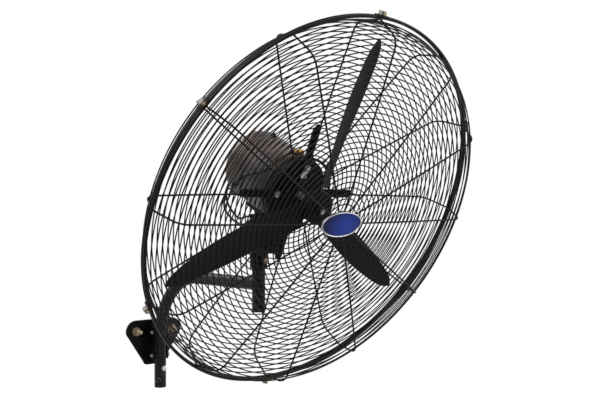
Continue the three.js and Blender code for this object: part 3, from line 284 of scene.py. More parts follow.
def colour(code: str) -> tuple[float, float, float, float]:
    """A colour written as six hex digits of sRGB, as linear values.

    Args:
        code: red, green and blue, such as "1b1a1a".

    Returns:
        Red, green, blue and an alpha of 1, by the sRGB standard's curve.
    """
    share = np.array(list(bytes.fromhex(code))) / 255
    linear = np.where(share <= 0.04045, share / 12.92, ((share + 0.055) / 1.055) ** 2.4)
    return (*linear.tolist(), 1.0)


# ---------------------------------------------------------------- finishes
@dataclass(frozen=True)
class Paint:
    """Sprayed or powder paint: its tone drifts, its gloss is uneven and edges rub lighter.

    Sizes of patterns are in waves per metre, depths in metres, and pairs of numbers are the ends of the
    slope that turns a noise into a mask.
    """

    name: str
    base: str
    drift: str
    # colour of rubbed edges and dust; the enamel also paints its highlight in it
    worn_and_highlight: str
    roughness: float = 0.42
    specular: float = 0.4
    peel: float = 420.0
    peel_depth: float = 0.00006
    wear: float = 0.0
    peel_bump: float = 0.5
    drift_size: float = 14.0
    drift_mask: tuple[float, float] = (0.35, 0.7)
    dust_size: float = 60.0
    dust_mask: tuple[float, float] = (0.55, 0.8)
    dust_tone: float = 0.10
    gloss_swing: float = 0.14
    edge_mask: tuple[float, float] = (0.53, 0.62)
    rub_size: float = 160.0
    rub_mask: tuple[float, float] = (0.38, 0.6)

    def tone(self, graph: Graph, at: Value) -> Value:
        """The paint's own colour, which drifts over a hand's width.

        Args:
            graph: the material's graph.
            at: coordinates.

        Returns:
            The colour.
        """
        mask = graph.step(graph.noise(at, self.drift_size, 4), *self.drift_mask)
        return graph.mix(mask, colour(self.base), colour(self.drift))

    def material(self) -> bpy.types.Material:
        """The tone with rubbed edges and dust over it, gloss that follows the dust, and orange peel.

        Returns:
            The finished material.
        """
        graph = new_finish(self.name)
        at = graph.place()
        tone = self.tone(graph, at)
        fine = graph.noise(at, self.peel, 2)
        dust = graph.step(graph.noise(at, self.dust_size, 6, 0.7), *self.dust_mask)
        if self.wear:
            edge = graph.step(graph.add("ShaderNodeNewGeometry", out="Pointiness"), *self.edge_mask)
            rub = edge * graph.step(graph.noise(at, self.rub_size, 4), *self.rub_mask)
            tone = graph.mix(rub * self.wear, tone, colour(self.worn_and_highlight))
        tone = graph.mix(dust * self.dust_tone, tone, colour(self.worn_and_highlight))
        gloss = self.roughness + (dust + fine * 0.5 - 0.25) * self.gloss_swing
        return graph.surface(Base_Color=tone, Roughness=gloss, Specular_IOR_Level=self.specular,
                             Normal=graph.bump(fine, self.peel_bump, self.peel_depth))


@dataclass(frozen=True)
class ScuffedPaint(Paint):
    """Tube paint with bare scuffs near one end, where a clamp has slid.

    foot is the scuffs' height and band how far they reach from it, both in metres.
    """

    foot: float = -0.125
    band: float = 0.022
    scratch_size: float = 190.0
    scratch_mask: tuple[float, float] = (0.60, 0.66)
    scratch_tone: float = 0.8

    def tone(self, graph: Graph, at: Value) -> Value:
        """The paint's colour with pale scratches, which fade with the square of the distance.

        Args:
            graph: the material's graph.
            at: coordinates.

        Returns:
            The colour.
        """
        plain = super().tone(graph, at)
        height = graph.along(at, WALL.z, self.foot * WALL.z)
        near = graph.step(height * height, self.band ** 2, 0.0)
        scratch = graph.step(graph.noise(at, self.scratch_size, 5, 0.7), *self.scratch_mask)
        return graph.mix(near * scratch * self.scratch_tone, plain, colour(self.worn_and_highlight))


@dataclass(frozen=True)
class Enamel(Paint):
    """Motor enamel with a painted highlight: light brown on top of the drum, along its rear edge and most
    at its top front lip, broken into patches.

    Distances are in metres behind the rim along the fan axis, and above that axis.
    """

    axis: tuple[float, float, float] = (0.0, 1.0, 0.0)
    up: tuple[float, float, float] = (0.0, 0.0, 1.0)
    origin: tuple[float, float, float] = (0.0, 0.0, 0.0)
    # where the painted highlight lies, behind the rim and above the axis, and how strong it is
    rear_highlight_mask: tuple[float, float] = (0.17, 0.26)
    rear_highlight: float = 0.28
    lip_highlight_mask: tuple[float, float] = (0.125, 0.105)
    lip_highlight: float = 0.5
    top_highlight_mask: tuple[float, float] = (0.02, 0.085)
    top_highlight: float = 0.3
    patch_size: float = 30.0
    patch_mask: tuple[float, float] = (0.25, 0.75)

    def tone(self, graph: Graph, at: Value) -> Value:
        """The enamel's colour, mixed towards the light brown of the painted highlight at the rear, on top
        and most at the front lip.

        Args:
            graph: the material's graph.
            at: coordinates.

        Returns:
            The colour.
        """
        plain = super().tone(graph, at)
        origin = np.array(self.origin)
        depth = graph.along(at, np.array(self.axis), origin)
        back = graph.step(depth, *self.rear_highlight_mask)
        lip = graph.step(depth, *self.lip_highlight_mask)
        top = graph.step(graph.along(at, np.array(self.up), origin), *self.top_highlight_mask)
        patch = graph.step(graph.noise(at, self.patch_size, 5), *self.patch_mask)
        # painted highlight on the drum's top, rear edge and front lip, broken into patches by noise
        worn_and_highlight = back * self.rear_highlight + top * (lip * self.lip_highlight + self.top_highlight)
        return graph.mix(worn_and_highlight * patch, plain, colour(self.worn_and_highlight))


@dataclass(frozen=True)
class Metal:
    """Plated or bare metal with blotches, fine scratches and uneven gloss."""

    name: str
    base: str
    blotch: str
    roughness: float = 0.3
    metallic: float = 0.92
    grain: float = 900.0
    grain_depth: float = 0.00003
    blotch_size: float = 120.0
    blotch_mask: tuple[float, float] = (0.35, 0.72)
    blotch_gloss: float = 0.16
    grain_gloss: float = 0.08

    def material(self) -> bpy.types.Material:
        """Two tones in blotches, each with its own gloss, and a fine grain.

        Returns:
            The finished material.
        """
        graph = new_finish(self.name)
        at = graph.place()
        patch = graph.step(graph.noise(at, self.blotch_size, 5, 0.65), *self.blotch_mask)
        fine = graph.noise(at, self.grain, 3)
        gloss = self.roughness + patch * self.blotch_gloss + fine * self.grain_gloss
        return graph.surface(Base_Color=graph.mix(patch, colour(self.base), colour(self.blotch)),
                             Metallic=self.metallic, Roughness=gloss,
                             Normal=graph.bump(fine, 0.3, self.grain_depth))


@dataclass(frozen=True)
class Rubber:
    """Cable rubber: dull, with a bloom of grey and fine pores."""

    name: str
    base: str
    bloom: str
    roughness: float = 0.55
    specular: float = 0.35
    bloom_size: float = 70.0
    bloom_mask: tuple[float, float] = (0.45, 0.8)
    bloom_tone: float = 0.6
    bloom_gloss: float = 0.15
    pores: float = 1500.0
    pore_depth: float = 0.00003

    def material(self) -> bpy.types.Material:
        """Black with a grey bloom that is also duller, and pores.

        Returns:
            The finished material.
        """
        graph = new_finish(self.name)
        at = graph.place()
        bloom = graph.step(graph.noise(at, self.bloom_size, 5, 0.6), *self.bloom_mask)
        pores = graph.noise(at, self.pores, 2)
        tone = graph.mix(bloom * self.bloom_tone, colour(self.base), colour(self.bloom))
        return graph.surface(Base_Color=tone, Roughness=self.roughness + bloom * self.bloom_gloss,
                             Specular_IOR_Level=self.specular,
                             Normal=graph.bump(pores, 0.4, self.pore_depth))


@dataclass(frozen=True)
class BadgeGloss:
    """Domed badge face: deep blue at the edge and lighter towards one side, under a clear coat."""

    name: str
    deep: str
    light: str
    centre: tuple[float, float, float]
    reach: float
    roughness: float = 0.28
    specular: float = 0.12
    coat: float = 0.12
    coat_roughness: float = 0.1
    cloud_size: float = 90.0
    cloud_tone: float = 0.12
    speck_size: float = 1400.0
    speck_gloss: float = 0.06
    speck_depth: float = 0.00002

    def material(self) -> bpy.types.Material:
        """The light blue fades out with the distance from its centre, up to its reach in metres.

        Returns:
            The finished material.
        """
        graph = new_finish(self.name)
        at = graph.place()
        offset = graph.add("ShaderNodeVectorMath", {"operation": "SUBTRACT"}, {0: at, 1: self.centre})
        distance = graph.add("ShaderNodeVectorMath", {"operation": "LENGTH"}, {0: offset}, out="Value")
        cloud = graph.noise(at, self.cloud_size, 3)
        glow = graph.step(distance, self.reach, 0.0) + cloud * self.cloud_tone
        speck = graph.noise(at, self.speck_size, 2)
        return graph.surface(Base_Color=graph.mix(glow, colour(self.deep), colour(self.light)),
                             Roughness=self.roughness + speck * self.speck_gloss,
                             Specular_IOR_Level=self.specular,
                             Coat_Weight=self.coat, Coat_Roughness=self.coat_roughness,
                             Normal=graph.bump(speck, 0.15, self.speck_depth))


class Finishes:
    """Every finish of the fan, each made into a material when it is first asked for."""

    def __init__(self, back: Array, rim_centre: Array, badge_glow: Array) -> None:
        """Sets up the finishes that depend on places.

        Args:
            back: unit direction of the fan axis towards the wall.
            rim_centre: middle of the guard's rim.
            badge_glow: middle of the light part of the badge.
        """
        axis, origin = tuple(back.tolist()), tuple(rim_centre.tolist())
        finishes = (
            Paint("black_paint", "030304", "070505", "37302b", 0.45, 0.10, wear=0.4),
            ScuffedPaint("tube_paint", "05060a", "0d0907", "8d8780", 0.40, 0.16),
            Paint("cast_black", "040303", "090706", "37302b", 0.5, 0.12, 260, 0.00015, wear=0.35),
            Paint("guard_wire", "050302", "0d0806", "3c2e26", 0.38, 0.13, 500, 0.00003),
            Paint("bell_black", "020202", "040303", "201b19", 0.5, 0.08, 300, 0.0001, wear=0.25),
            # b8957f is the light brown of the drum's dust and of its painted highlight
            Enamel("drum_enamel", "16110f", "201916", "b8957f", 0.32, 0.35, 260, 0.00008,
                   axis=axis, up=tuple(UP.tolist()), origin=origin),
            Paint("gearbox_brown", "140f0c", "1f1713", "7a6050", 0.42, 0.3, 240, 0.0001, wear=0.4),
            Paint("stay_brown", "040303", "0a0706", "40352e", 0.45, 0.14, 320, 0.00008, wear=0.4),
            Paint("blade_black", "060404", "0c0908", "221c19", 0.5, 0.14, 500, 0.00003),
            Paint("knob_brown", "2c1f19", "3a2a22", "8c7364", 0.4, 0.45, 600, 0.00004, wear=0.5),
            Paint("pale_lug", "a8a29d", "98918a", "7d7770", 0.5, 0.35, 500, 0.00004),
            Paint("pale_pad", "efe2dc", "ddcdc5", "b09d92", 0.6, 0.3, 700, 0.00003),
            Metal("zinc", "9a8c78", "6f5f4c", 0.34),
            Metal("bright_steel", "c2c2c6", "8c8c92", 0.3),
            Metal("dark_nut", "2a2624", "1a1614", 0.35),
            Metal("dull_steel", "5a5653", "302d2a", 0.4),
            Metal("badge_silver", "c4c4c8", "9c9ca2", 0.2),
            Metal("brass", "e0b866", "a07a34", 0.28),
            Rubber("rubber", "040303", "171310"),
            BadgeGloss("badge_blue", "010a34", "043090", tuple(badge_glow.tolist()), 0.062),
        )
        self.kinds = {finish.name: finish for finish in finishes}
        self.made: dict[str, bpy.types.Material] = {}

    def get(self, name: str) -> bpy.types.Material:
        """The material of a finish.

        Args:
            name: the finish's name.

        Returns:
            Its material, made once.
        """
        if name not in self.made:
            self.made[name] = self.kinds[name].material()
        return self.made[name]


# ---------------------------------------------------------------- places and surfaces
@dataclass(frozen=True)
class Place:
    """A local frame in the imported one: an origin in metres and three unit axes."""

    origin: Array
    x: Array
    y: Array
    z: Array

    def metres(self, points: Array) -> Array:
        """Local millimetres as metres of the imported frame.

        Args:
            points: an array whose last axis holds x, y and z.

        Returns:
            The places, in the same layout.
        """
        return self.origin + MM * (points @ np.stack([self.x, self.y, self.z]))

    def moved(self, x: float = 0.0, y: float = 0.0, z: float = 0.0) -> "Place":
        """The same axes at another origin, given in local millimetres."""
        return Place(self.metres(np.array([x, y, z])), self.x, self.y, self.z)

    def facing(self, side: int) -> "Place":
        """Turned about z so that local -y points to +x or -x.

        Args:
            side: 1 for +x and -1 for -x.

        Returns:
            The turned frame.
        """
        return Place(self.origin, side * self.y, -side * self.x, self.z)

    def turned(self, degrees: float) -> "Place":
        """Turned about y.

        Args:
            degrees: the angle, counted from x towards z.

        Returns:
            The turned frame.
        """
        a = math.radians(degrees)
        return Place(self.origin, math.cos(a) * self.x + math.sin(a) * self.z, self.y,
                     math.cos(a) * self.z - math.sin(a) * self.x)


def joint(name: str) -> dict[str, object]:
    """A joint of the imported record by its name."""
    return next(j for j in frame["joints"] if j["name"] == name)


def unit(values: list[float] | Array) -> Array:
    """A vector of length one."""
    vector = np.array(values, float)
    return vector / np.linalg.norm(vector)


def placed(name: str, data: bpy.types.ID) -> bpy.types.Object:
    """An object around a mesh, lamp or camera, in the scene and at its origin.

    Args:
        name: the object's name.
        data: what it shows.

    Returns:
        The object.
    """
    obj = bpy.data.objects.new(name, data)
    bpy.context.scene.collection.objects.link(obj)
    return obj


UP = unit(joint("oscillation")["axis"])
BACK = -unit(joint("rotor_spin")["axis"])
RIGHT = np.array([1.0, 0.0, 0.0])
WALL = Place(np.zeros(3), RIGHT, np.array([0.0, 1.0, 0.0]), np.array([0.0, 0.0, 1.0]))
TILT = Place(np.array(joint("tilt")["pos_m"], float), RIGHT, BACK, UP)
LEVEL = Place(TILT.origin, RIGHT, WALL.y, WALL.z)
HEAD = Place(np.array(joint("rotor_spin")["pos_m"], float), RIGHT, BACK, UP)


class Skin:
    """Closed surfaces gathered as whole arrays, in millimetres of a local frame."""

    def __init__(self) -> None:
        """Starts with nothing."""
        self.points: list[Array] = []
        self.quads: list[Array] = []
        self.tris: list[Array] = []
        self.count = 0

    def add(self, grid: Array, endless: bool = False) -> "Skin":
        """Adds one closed surface from rows of points.

        The columns close round. The rows close too where endless is true, and otherwise the first and
        last row are capped to their mean point. The signed volume, the sum of a . (b x c) / 6 over all
        triangles, tells whether the faces have to be turned over.

        Args:
            grid: rows by columns by 3.
            endless: whether the last row joins the first.

        Returns:
            The skin itself.
        """
        rows, columns = grid.shape[:2]
        here = np.arange(rows * columns).reshape(rows, columns)
        beside = np.roll(here, -1, axis=1)
        if endless:
            below, across = np.roll(here, -1, axis=0), np.roll(beside, -1, axis=0)
            quads = np.stack([here, beside, across, below], -1).reshape(-1, 4)
            points, tris = grid.reshape(-1, 3), np.zeros((0, 3), int)
        else:
            quads = np.stack([here[:-1], beside[:-1], beside[1:], here[1:]], -1).reshape(-1, 4)
            first, last = rows * columns, rows * columns + 1
            tris = np.concatenate([
                np.stack([beside[0], here[0], np.full(columns, first)], -1),
                np.stack([here[-1], beside[-1], np.full(columns, last)], -1)])
            points = np.concatenate([grid.reshape(-1, 3), grid[0].mean(0)[None], grid[-1].mean(0)[None]])
        corners = np.concatenate([quads[:, [0, 1, 2]], quads[:, [0, 2, 3]], tris])
        a, b, c = (points[corners[:, k]] for k in range(3))
        if np.einsum("ij,ij->", a, np.cross(b, c)) < 0:
            quads, tris = quads[:, ::-1], tris[:, ::-1]
        self.points.append(points)
        self.quads.append(quads + self.count)
        self.tris.append(tris + self.count)
        self.count += len(points)
        return self

    def join(self, other: "Skin") -> "Skin":
        """Takes over the surfaces of another skin.

        Args:
            other: a skin in the same frame.

        Returns:
            The skin itself.
        """
        self.points += other.points
        self.quads += [quads + self.count for quads in other.quads]
        self.tris += [tris + self.count for tris in other.tris]
        self.count += other.count
        return self

    def mesh(self, name: str, place: Place, sharp: float) -> bpy.types.Mesh:
        """The gathered surfaces as a mesh.

        Args:
            name: the mesh's name.
            place: the local frame.
            sharp: edges that turn by more degrees than this stay sharp.

        Returns:
            The mesh, in metres.
        """
        mesh = bpy.data.meshes.new(name)
        points = place.metres(np.concatenate(self.points))
        quads, tris = np.concatenate(self.quads), np.concatenate(self.tris)
        mesh.vertices.add(len(points))
        mesh.vertices.foreach_set("co", points.astype(np.float32).ravel())
        loops = np.concatenate([quads.ravel(), tris.ravel()]).astype(np.int32)
        mesh.loops.add(len(loops))
        mesh.loops.foreach_set("vertex_index", loops)
        sizes = np.concatenate([np.full(len(quads), 4), np.full(len(tris), 3)])
        starts = np.concatenate([[0], np.cumsum(sizes)[:-1]]).astype(np.int32)
        mesh.polygons.add(len(sizes))
        mesh.polygons.foreach_set("loop_start", starts)
        mesh.update(calc_edges=True)
        mesh.validate()
        mesh.shade_smooth()
        mesh.set_sharp_from_angle(angle=math.radians(sharp))
        return mesh


def turns(steps: int) -> Array:
    """Equal angles round a full turn from zero, without the last."""
    return np.arange(steps) * TURN / steps


def around(radius: Array | float, y: Array | float, angle: Array | float) -> Array:
    """Points at a radius and an angle about local y: (r cos a, y, r sin a).

    Args:
        radius: distance from the axis.
        y: place along the axis.
        angle: from x towards z; the three are spread over each other's shapes.

    Returns:
        The points, with x, y and z on a last axis of their own.
    """
    r, level, a = np.broadcast_arrays(radius, y, angle)
    return np.stack([r * np.cos(a), level, r * np.sin(a)], -1)


def revolved(profile: Array, steps: int = 64) -> Array:
    """A profile of [radius, y] carried round local y.

    Args:
        profile: points, N by 2.
        steps: columns round the axis.

    Returns:
        N by steps by 3.
    """
    return around(profile[:, :1], profile[:, 1:], turns(steps)[None, :])


def upright(grid: Array) -> Array:
    """A grid revolved about y, laid so that its axis is local z."""
    return grid[..., [0, 2, 1]]


def hoop(radius: float, depth: float, wire: float, steps: int, sides: int) -> Array:
    """A round wire bent to a ring about local y: a circle of the wire's radius carried round.

    Args:
        radius: the ring's own radius to the middle of the wire.
        depth: local y of the ring.
        wire: the wire's radius.
        steps: stations round the ring.
        sides: corners of the wire's section.

    Returns:
        Steps by sides by 3, closed both ways.
    """
    b = turns(sides)[None, :]
    return around(radius + wire * np.cos(b), depth + wire * np.sin(b), turns(steps)[:, None])


def collar(inner: float, outer: float, start: float, end: float, ease: float, drop: float) -> Array:
    """Section of a washer or a cut pipe, with chamfers on its outer corners.

    Args:
        inner: inner radius.
        outer: outer radius.
        start: y of one face.
        end: y of the other.
        ease: how much of the radius a chamfer takes.
        drop: how much of the length it takes.

    Returns:
        Six points of radius and y.
    """
    in_y = math.copysign(drop, end - start)
    return np.array([[outer - ease, start], [outer, start + in_y], [outer, end - in_y],
                     [outer - ease, end], [inner, end], [inner, start]])


def quarter(radius: float, height: float, steps: int) -> Array:
    """A quarter ellipse from its side to its top: (radius cos t, height sin t).

    Args:
        radius: half width.
        height: of the top over the side's foot.
        steps: points, both ends counted.

    Returns:
        Steps by 2.
    """
    t = np.linspace(0, math.pi / 2, steps)
    return np.stack([radius * np.cos(t), height * np.sin(t)], -1)


def cushion(half: tuple[float, float], power: float, steps: int,
            layers: tuple[tuple[float, float], ...]) -> Array:
    """A block with rounded corners, drawn as outlines in x and z at several y.

    Each outline is half sizes times the cosine and the sine of an angle, raised to a power with their
    signs kept, and then scaled about its middle.

    Args:
        half: half sizes along x and z.
        power: 1 gives an ellipse, and less gives squarer corners.
        steps: points of an outline.
        layers: scale and y of each outline.

    Returns:
        Layers by steps by 3.
    """
    a = turns(steps)
    x, z = (size * np.sign(wave) * np.abs(wave) ** power
            for size, wave in zip(half, (np.cos(a), np.sin(a))))
    return np.stack([np.stack([x * scale, np.full_like(x, y), z * scale], -1) for scale, y in layers])


def tube(path: Array, radius: Array | float, sides: int) -> Array:
    """A round section carried along a path, with frames that turn as little as they can.

    Each station's normal is the one before it, less its share along the new tangent.

    Args:
        path: stations, N by 3.
        radius: one radius, or one for each station.
        sides: corners of the section.

    Returns:
        N by sides by 3.
    """
    tangent = np.gradient(path, axis=0)
    tangent /= np.linalg.norm(tangent, axis=1)[:, None]
    normal = np.empty_like(path)
    seed = np.eye(3)[np.argmin(np.abs(tangent[0]))]
    for i, way in enumerate(tangent):
        seed = seed - way * (seed @ way)
        seed = seed / np.linalg.norm(seed)
        normal[i] = seed
    other = np.cross(tangent, normal)
    b = turns(sides)[None, :, None]
    size = np.broadcast_to(np.asarray(radius, float), (len(path),))[:, None, None]
    return path[:, None] + size * (np.cos(b) * normal[:, None] + np.sin(b) * other[:, None])


def through(points: Array, each: int) -> Array:
    """A smooth curve through points: centripetal Catmull-Rom, with knots at root chord lengths.

    Args:
        points: given stations, N by 3.
        each: samples to each stretch.

    Returns:
        The sampled curve.
    """
    p = np.array([2 * points[0] - points[1], *points, 2 * points[-1] - points[-2]])
    gap = np.sqrt(np.linalg.norm(np.diff(p, axis=0), axis=1))[:, None, None]
    p0, p1, p2, p3 = (p[k:len(p) - 3 + k, None] for k in range(4))
    g0, g1, g2 = gap[:-2], gap[1:-1], gap[2:]
    t1 = ((p1 - p0) / g0 - (p2 - p0) / (g0 + g1) + (p2 - p1) / g1) * g1
    t2 = ((p2 - p1) / g1 - (p3 - p1) / (g1 + g2) + (p3 - p2) / g2) * g1
    t = (np.arange(each) / each)[None, :, None]
    curve = (p1 + t * t1 + t ** 2 * (-3 * p1 + 3 * p2 - 2 * t1 - t2)
             + t ** 3 * (2 * p1 - 2 * p2 + t1 + t2))
    return np.concatenate([curve.reshape(-1, 3), points[-1:]])


def smooth(at: Array, stations: Array, values: Array) -> Array:
    """A smooth line through a table: cubic Hermite pieces with the table's own slopes.

    Args:
        at: where it is asked for.
        stations: rising places of the table.
        values: values there.

    Returns:
        One value for each place.
    """
    slope = np.gradient(values, stations)
    k = np.clip(np.searchsorted(stations, at, side="right") - 1, 0, len(stations) - 2)
    span = stations[k + 1] - stations[k]
    t = (at - stations[k]) / span
    return ((2 * t ** 3 - 3 * t ** 2 + 1) * values[k] + (t ** 3 - 2 * t ** 2 + t) * span * slope[k]
            + (-2 * t ** 3 + 3 * t ** 2) * values[k + 1] + (t ** 3 - t ** 2) * span * slope[k + 1])


# ---------------------------------------------------------------- pieces
@dataclass
class Workshop:
    """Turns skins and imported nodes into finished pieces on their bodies.

    merge, in millimetres, and flat and crease, in degrees, say which corners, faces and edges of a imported
    node are one and which are bevelled.
    """

    finishes: Finishes
    made: int = 0
    merge: float = 0.01
    flat: float = 1.5
    crease: float = 40.0
    bevel_steps: int = 3

    def dress(self, obj: bpy.types.Object, finish: str, slot: str, body: Body | None,
              nodes: tuple[str, ...]) -> None:
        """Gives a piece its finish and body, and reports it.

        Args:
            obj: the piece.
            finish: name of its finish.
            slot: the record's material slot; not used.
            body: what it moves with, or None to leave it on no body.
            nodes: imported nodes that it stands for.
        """
        obj.data.materials.clear()
        obj.data.materials.append(self.finishes.get(finish))
        if body:
            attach(obj, body.value)
        if nodes:
            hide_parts(*nodes)
        self.made += 1
        carrier = body.value if body else "two bodies"
        LOG.info("%s: %d faces on %s", obj.name, len(obj.data.polygons), carrier)

    def piece(self, name: str, skin: Skin, place: Place, finish: str, slot: str, body: Body,
              *nodes: str, sharp: float = 35.0) -> bpy.types.Object:
        """A piece from a skin.

        Args:
            name: the piece's name.
            skin: its surfaces.
            place: the frame that they are drawn in.
            finish: name of its finish.
            slot: the record's material slot.
            body: what it moves with.
            *nodes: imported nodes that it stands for.
            sharp: crease angle in degrees.

        Returns:
            The piece.
        """
        obj = placed(name, skin.mesh(name, place, sharp))
        self.dress(obj, finish, slot, body, nodes)
        return obj

    def eased(self, node: str, finish: str, slot: str, body: Body, radius: float) -> bpy.types.Object:
        """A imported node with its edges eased: a merged copy of it with a bevel.

        Args:
            node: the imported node.
            finish: name of its finish.
            slot: the record's material slot.
            body: what it moves with.
            radius: size of the bevel in millimetres.

        Returns:
            The piece.
        """
        name = f"{node}_eased"
        mesh = bpy.data.meshes.new(name)
        form = bmesh.new()
        form.from_mesh(frame["nodes"][node].data)
        bmesh.ops.remove_doubles(form, verts=form.verts, dist=self.merge * MM)
        bmesh.ops.dissolve_limit(form, angle_limit=math.radians(self.flat), verts=form.verts,
                                 edges=form.edges)
        form.to_mesh(mesh)
        form.free()
        mesh.shade_smooth()
        obj = placed(name, mesh)
        bevel = obj.modifiers.new("eased", "BEVEL")
        bevel.width = radius * MM
        bevel.segments = self.bevel_steps
        bevel.limit_method = "ANGLE"
        bevel.angle_limit = math.radians(self.crease)
        bevel.use_clamp_overlap = True
        bevel.harden_normals = True
        self.dress(obj, finish, slot, body, (node,))
        return obj


# ---------------------------------------------------------------- fasteners
@dataclass(frozen=True)
class Thread:
    """Sizes of one screw thread and its hexagons, in millimetres.

    chamfer is the bevel's least radius as a share of the width across flats and slope its angle in
    degrees. ease is the chamfer at the bearing face, and lead_in and lead_depth are that of a bore. room
    is how much wider than the shank a nut's bore is. depth and run_out are shares of the pitch.
    """

    shank: float
    pitch: float
    across: float
    head: float
    nut: float
    chamfer: float = 0.475
    slope: float = 30.0
    ease: float = 0.3
    lead_in: float = 0.5
    lead_depth: float = 0.6
    room: float = 0.4
    depth: float = 0.35
    run_out: float = 0.4
    rows_to_pitch: int = 6

    def hexagon(self, start: float, end: float, bore: float = 0.0) -> Skin:
        """A hexagon along y, bevelled at its outer end, open round a bore where there is one.

        Its radius is half the width across flats over the cosine of the angle to the nearest flat, and
        the bevel is a cone.

        Args:
            start: y of the bearing face.
            end: y of the outer face.
            bore: diameter of the hole, or 0.

        Returns:
            The hexagon's skin.
        """
        a = turns(72)
        corner = self.across / 2 / np.cos(np.mod(a, TURN / 6) - TURN / 12)
        chamfer = self.chamfer * self.across
        drop = np.clip(corner - chamfer, 0, None) * math.tan(math.radians(self.slope))
        way = math.copysign(1.0, end - start)
        rows = [(corner - self.ease, start), (corner, start + way * self.ease),
                (corner, end - way * drop), (np.minimum(corner, chamfer), end)]
        if bore:
            rows += [(bore / 2 + self.lead_in, end), (bore / 2, end - way * self.lead_depth),
                     (bore / 2, start)]
        return Skin().add(np.stack([around(radius, y, a) for radius, y in rows]), endless=bool(bore))

    def rod(self, start: float, end: float) -> Array:
        """A threaded rod along y: the radius waves once a pitch and once a turn.

        Args:
            start: y of one end.
            end: y of the other.

        Returns:
            Rows by 24 by 3.
        """
        rows = max(6, int(abs(end - start) / self.pitch * self.rows_to_pitch))
        y = np.linspace(start, end, rows)[:, None]
        a = turns(24)[None, :]
        wave = np.abs(np.mod(y / self.pitch - a / TURN, 1.0) - 0.5) * 2
        taper = np.clip(np.minimum(np.abs(y - start), np.abs(y - end)) / self.pitch, 0, 1)
        cut = self.depth * self.pitch * wave
        return around(self.shank / 2 - cut - self.run_out * self.pitch * (1 - taper), y, a)


M8 = Thread(shank=8, pitch=1.25, across=13, head=5.5, nut=6.5)
M10 = Thread(shank=10, pitch=1.5, across=17, head=6.5, nut=8)
# the rotor shaft's nut, the small screws through the rim clips, and the gland's hexagon
HUB_THREAD = Thread(shank=15, pitch=1.5, across=24, head=9, nut=9)
LUG_SCREW = Thread(shank=4.3, pitch=0.8, across=7.5, head=2.6, nut=3)
GLAND_GRIP = Thread(shank=8, pitch=1, across=11.4, head=6.2, nut=6)


@dataclass
class Fasteners:
    """Bolts and nuts; sunk is how far a shank reaches into its head, in millimetres."""

    shop: Workshop
    sunk: float = 0.5

    def bolt(self, node: str, thread: Thread, place: Place, length: float, body: Body,
             finish: str = "zinc", slot: str = "zinc") -> None:
        """A hex bolt whose head bears on y = 0 from the -y side.

        Args:
            node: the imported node.
            thread: its sizes.
            place: the frame at its bearing face.
            length: shank under the head.
            body: what it moves with.
            finish: name of its finish.
            slot: the record's material slot.
        """
        skin = thread.hexagon(0, -thread.head)
        skin.add(thread.rod(-self.sunk, length))
        self.shop.piece(f"{node}_hex", skin, place, finish, slot, body, node)

    def nut(self, node: str, thread: Thread, place: Place, body: Body, finish: str = "zinc") -> None:
        """A hex nut that bears on y = 0 from the -y side.

        Args:
            node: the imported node.
            thread: its sizes.
            place: the frame at its bearing face.
            body: what it moves with.
            finish: name of its finish.
        """
        nut = thread.hexagon(0, -thread.nut, thread.shank + thread.room)
        self.shop.piece(f"{node}_hex", nut, place, finish, "zinc", body, node)


# ---------------------------------------------------------------- wall plate, arm and post
@dataclass
class WallMount:
    """Wall plate with its two studs, the channel bracket and its clamp bolts."""

    shop: Workshop
    fasteners: Fasteners
    plate: float = 4.0
    stud_spacing: float = 109.0
    stud_end: float = -29.0
    washer_radius: float = 11.0
    washer: float = 2.0
    washer_ease: float = 0.3
    leg_standoff: float = 33.0
    channel_outer: float = 18.5
    bolt_end: float = 3.0
    clamp_heights: dict[str, float] = field(default_factory=lambda: {"upper": -2.0, "lower": -61.0})

    def build(self) -> None:
        """Builds plate, channel, studs, nuts and clamp bolts."""
        self.shop.eased("wall_plate", "black_paint", "black_paint", Body.ARM, 0.8)
        self.shop.eased("channel_bracket", "black_paint", "black_paint", Body.ARM, 0.7)
        for name, side in (("left", -1), ("right", 1)):
            self.stud(name, WALL.moved(x=side * self.stud_spacing / 2))
        for name, height in self.clamp_heights.items():
            self.clamp(name, height)

    def stud(self, name: str, place: Place) -> None:
        """A wall stud with its washer and nut.

        Args:
            name: left or right.
            place: the frame on the plate's back face, at the stud's axis.
        """
        self.shop.piece(f"anchor_stud_{name}_thread", Skin().add(M10.rod(self.stud_end, 0)), place,
                        "zinc", "zinc", Body.ARM, f"anchor_stud_{name}")
        face = -(self.plate + SEAT)
        under = face - self.washer
        ease = self.washer_ease
        washer = collar(M10.shank / 2 + SEAT, self.washer_radius, face, under, ease, ease)
        skin = M10.hexagon(under, under - M10.nut, M10.shank + M10.room)
        skin.add(revolved(washer, 48), endless=True)
        self.shop.piece(f"anchor_nut_{name}_hex", skin, place, "zinc", "zinc", Body.ARM,
                        f"anchor_nut_{name}")

    def clamp(self, name: str, height: float) -> None:
        """A clamp bolt through the channel's side walls and its nut.

        Args:
            name: upper or lower.
            height: of its axis.
        """
        face = self.channel_outer + SEAT
        centre = WALL.moved(y=-self.leg_standoff, z=height)
        self.fasteners.bolt(f"clamp_bolt_{name}", M8, centre.moved(x=face).facing(1),
                            2 * face + M8.nut + self.bolt_end, Body.ARM)
        self.fasteners.nut(f"clamp_nut_{name}", M8, centre.moved(x=-face).facing(-1), Body.ARM,
                           "black_paint")


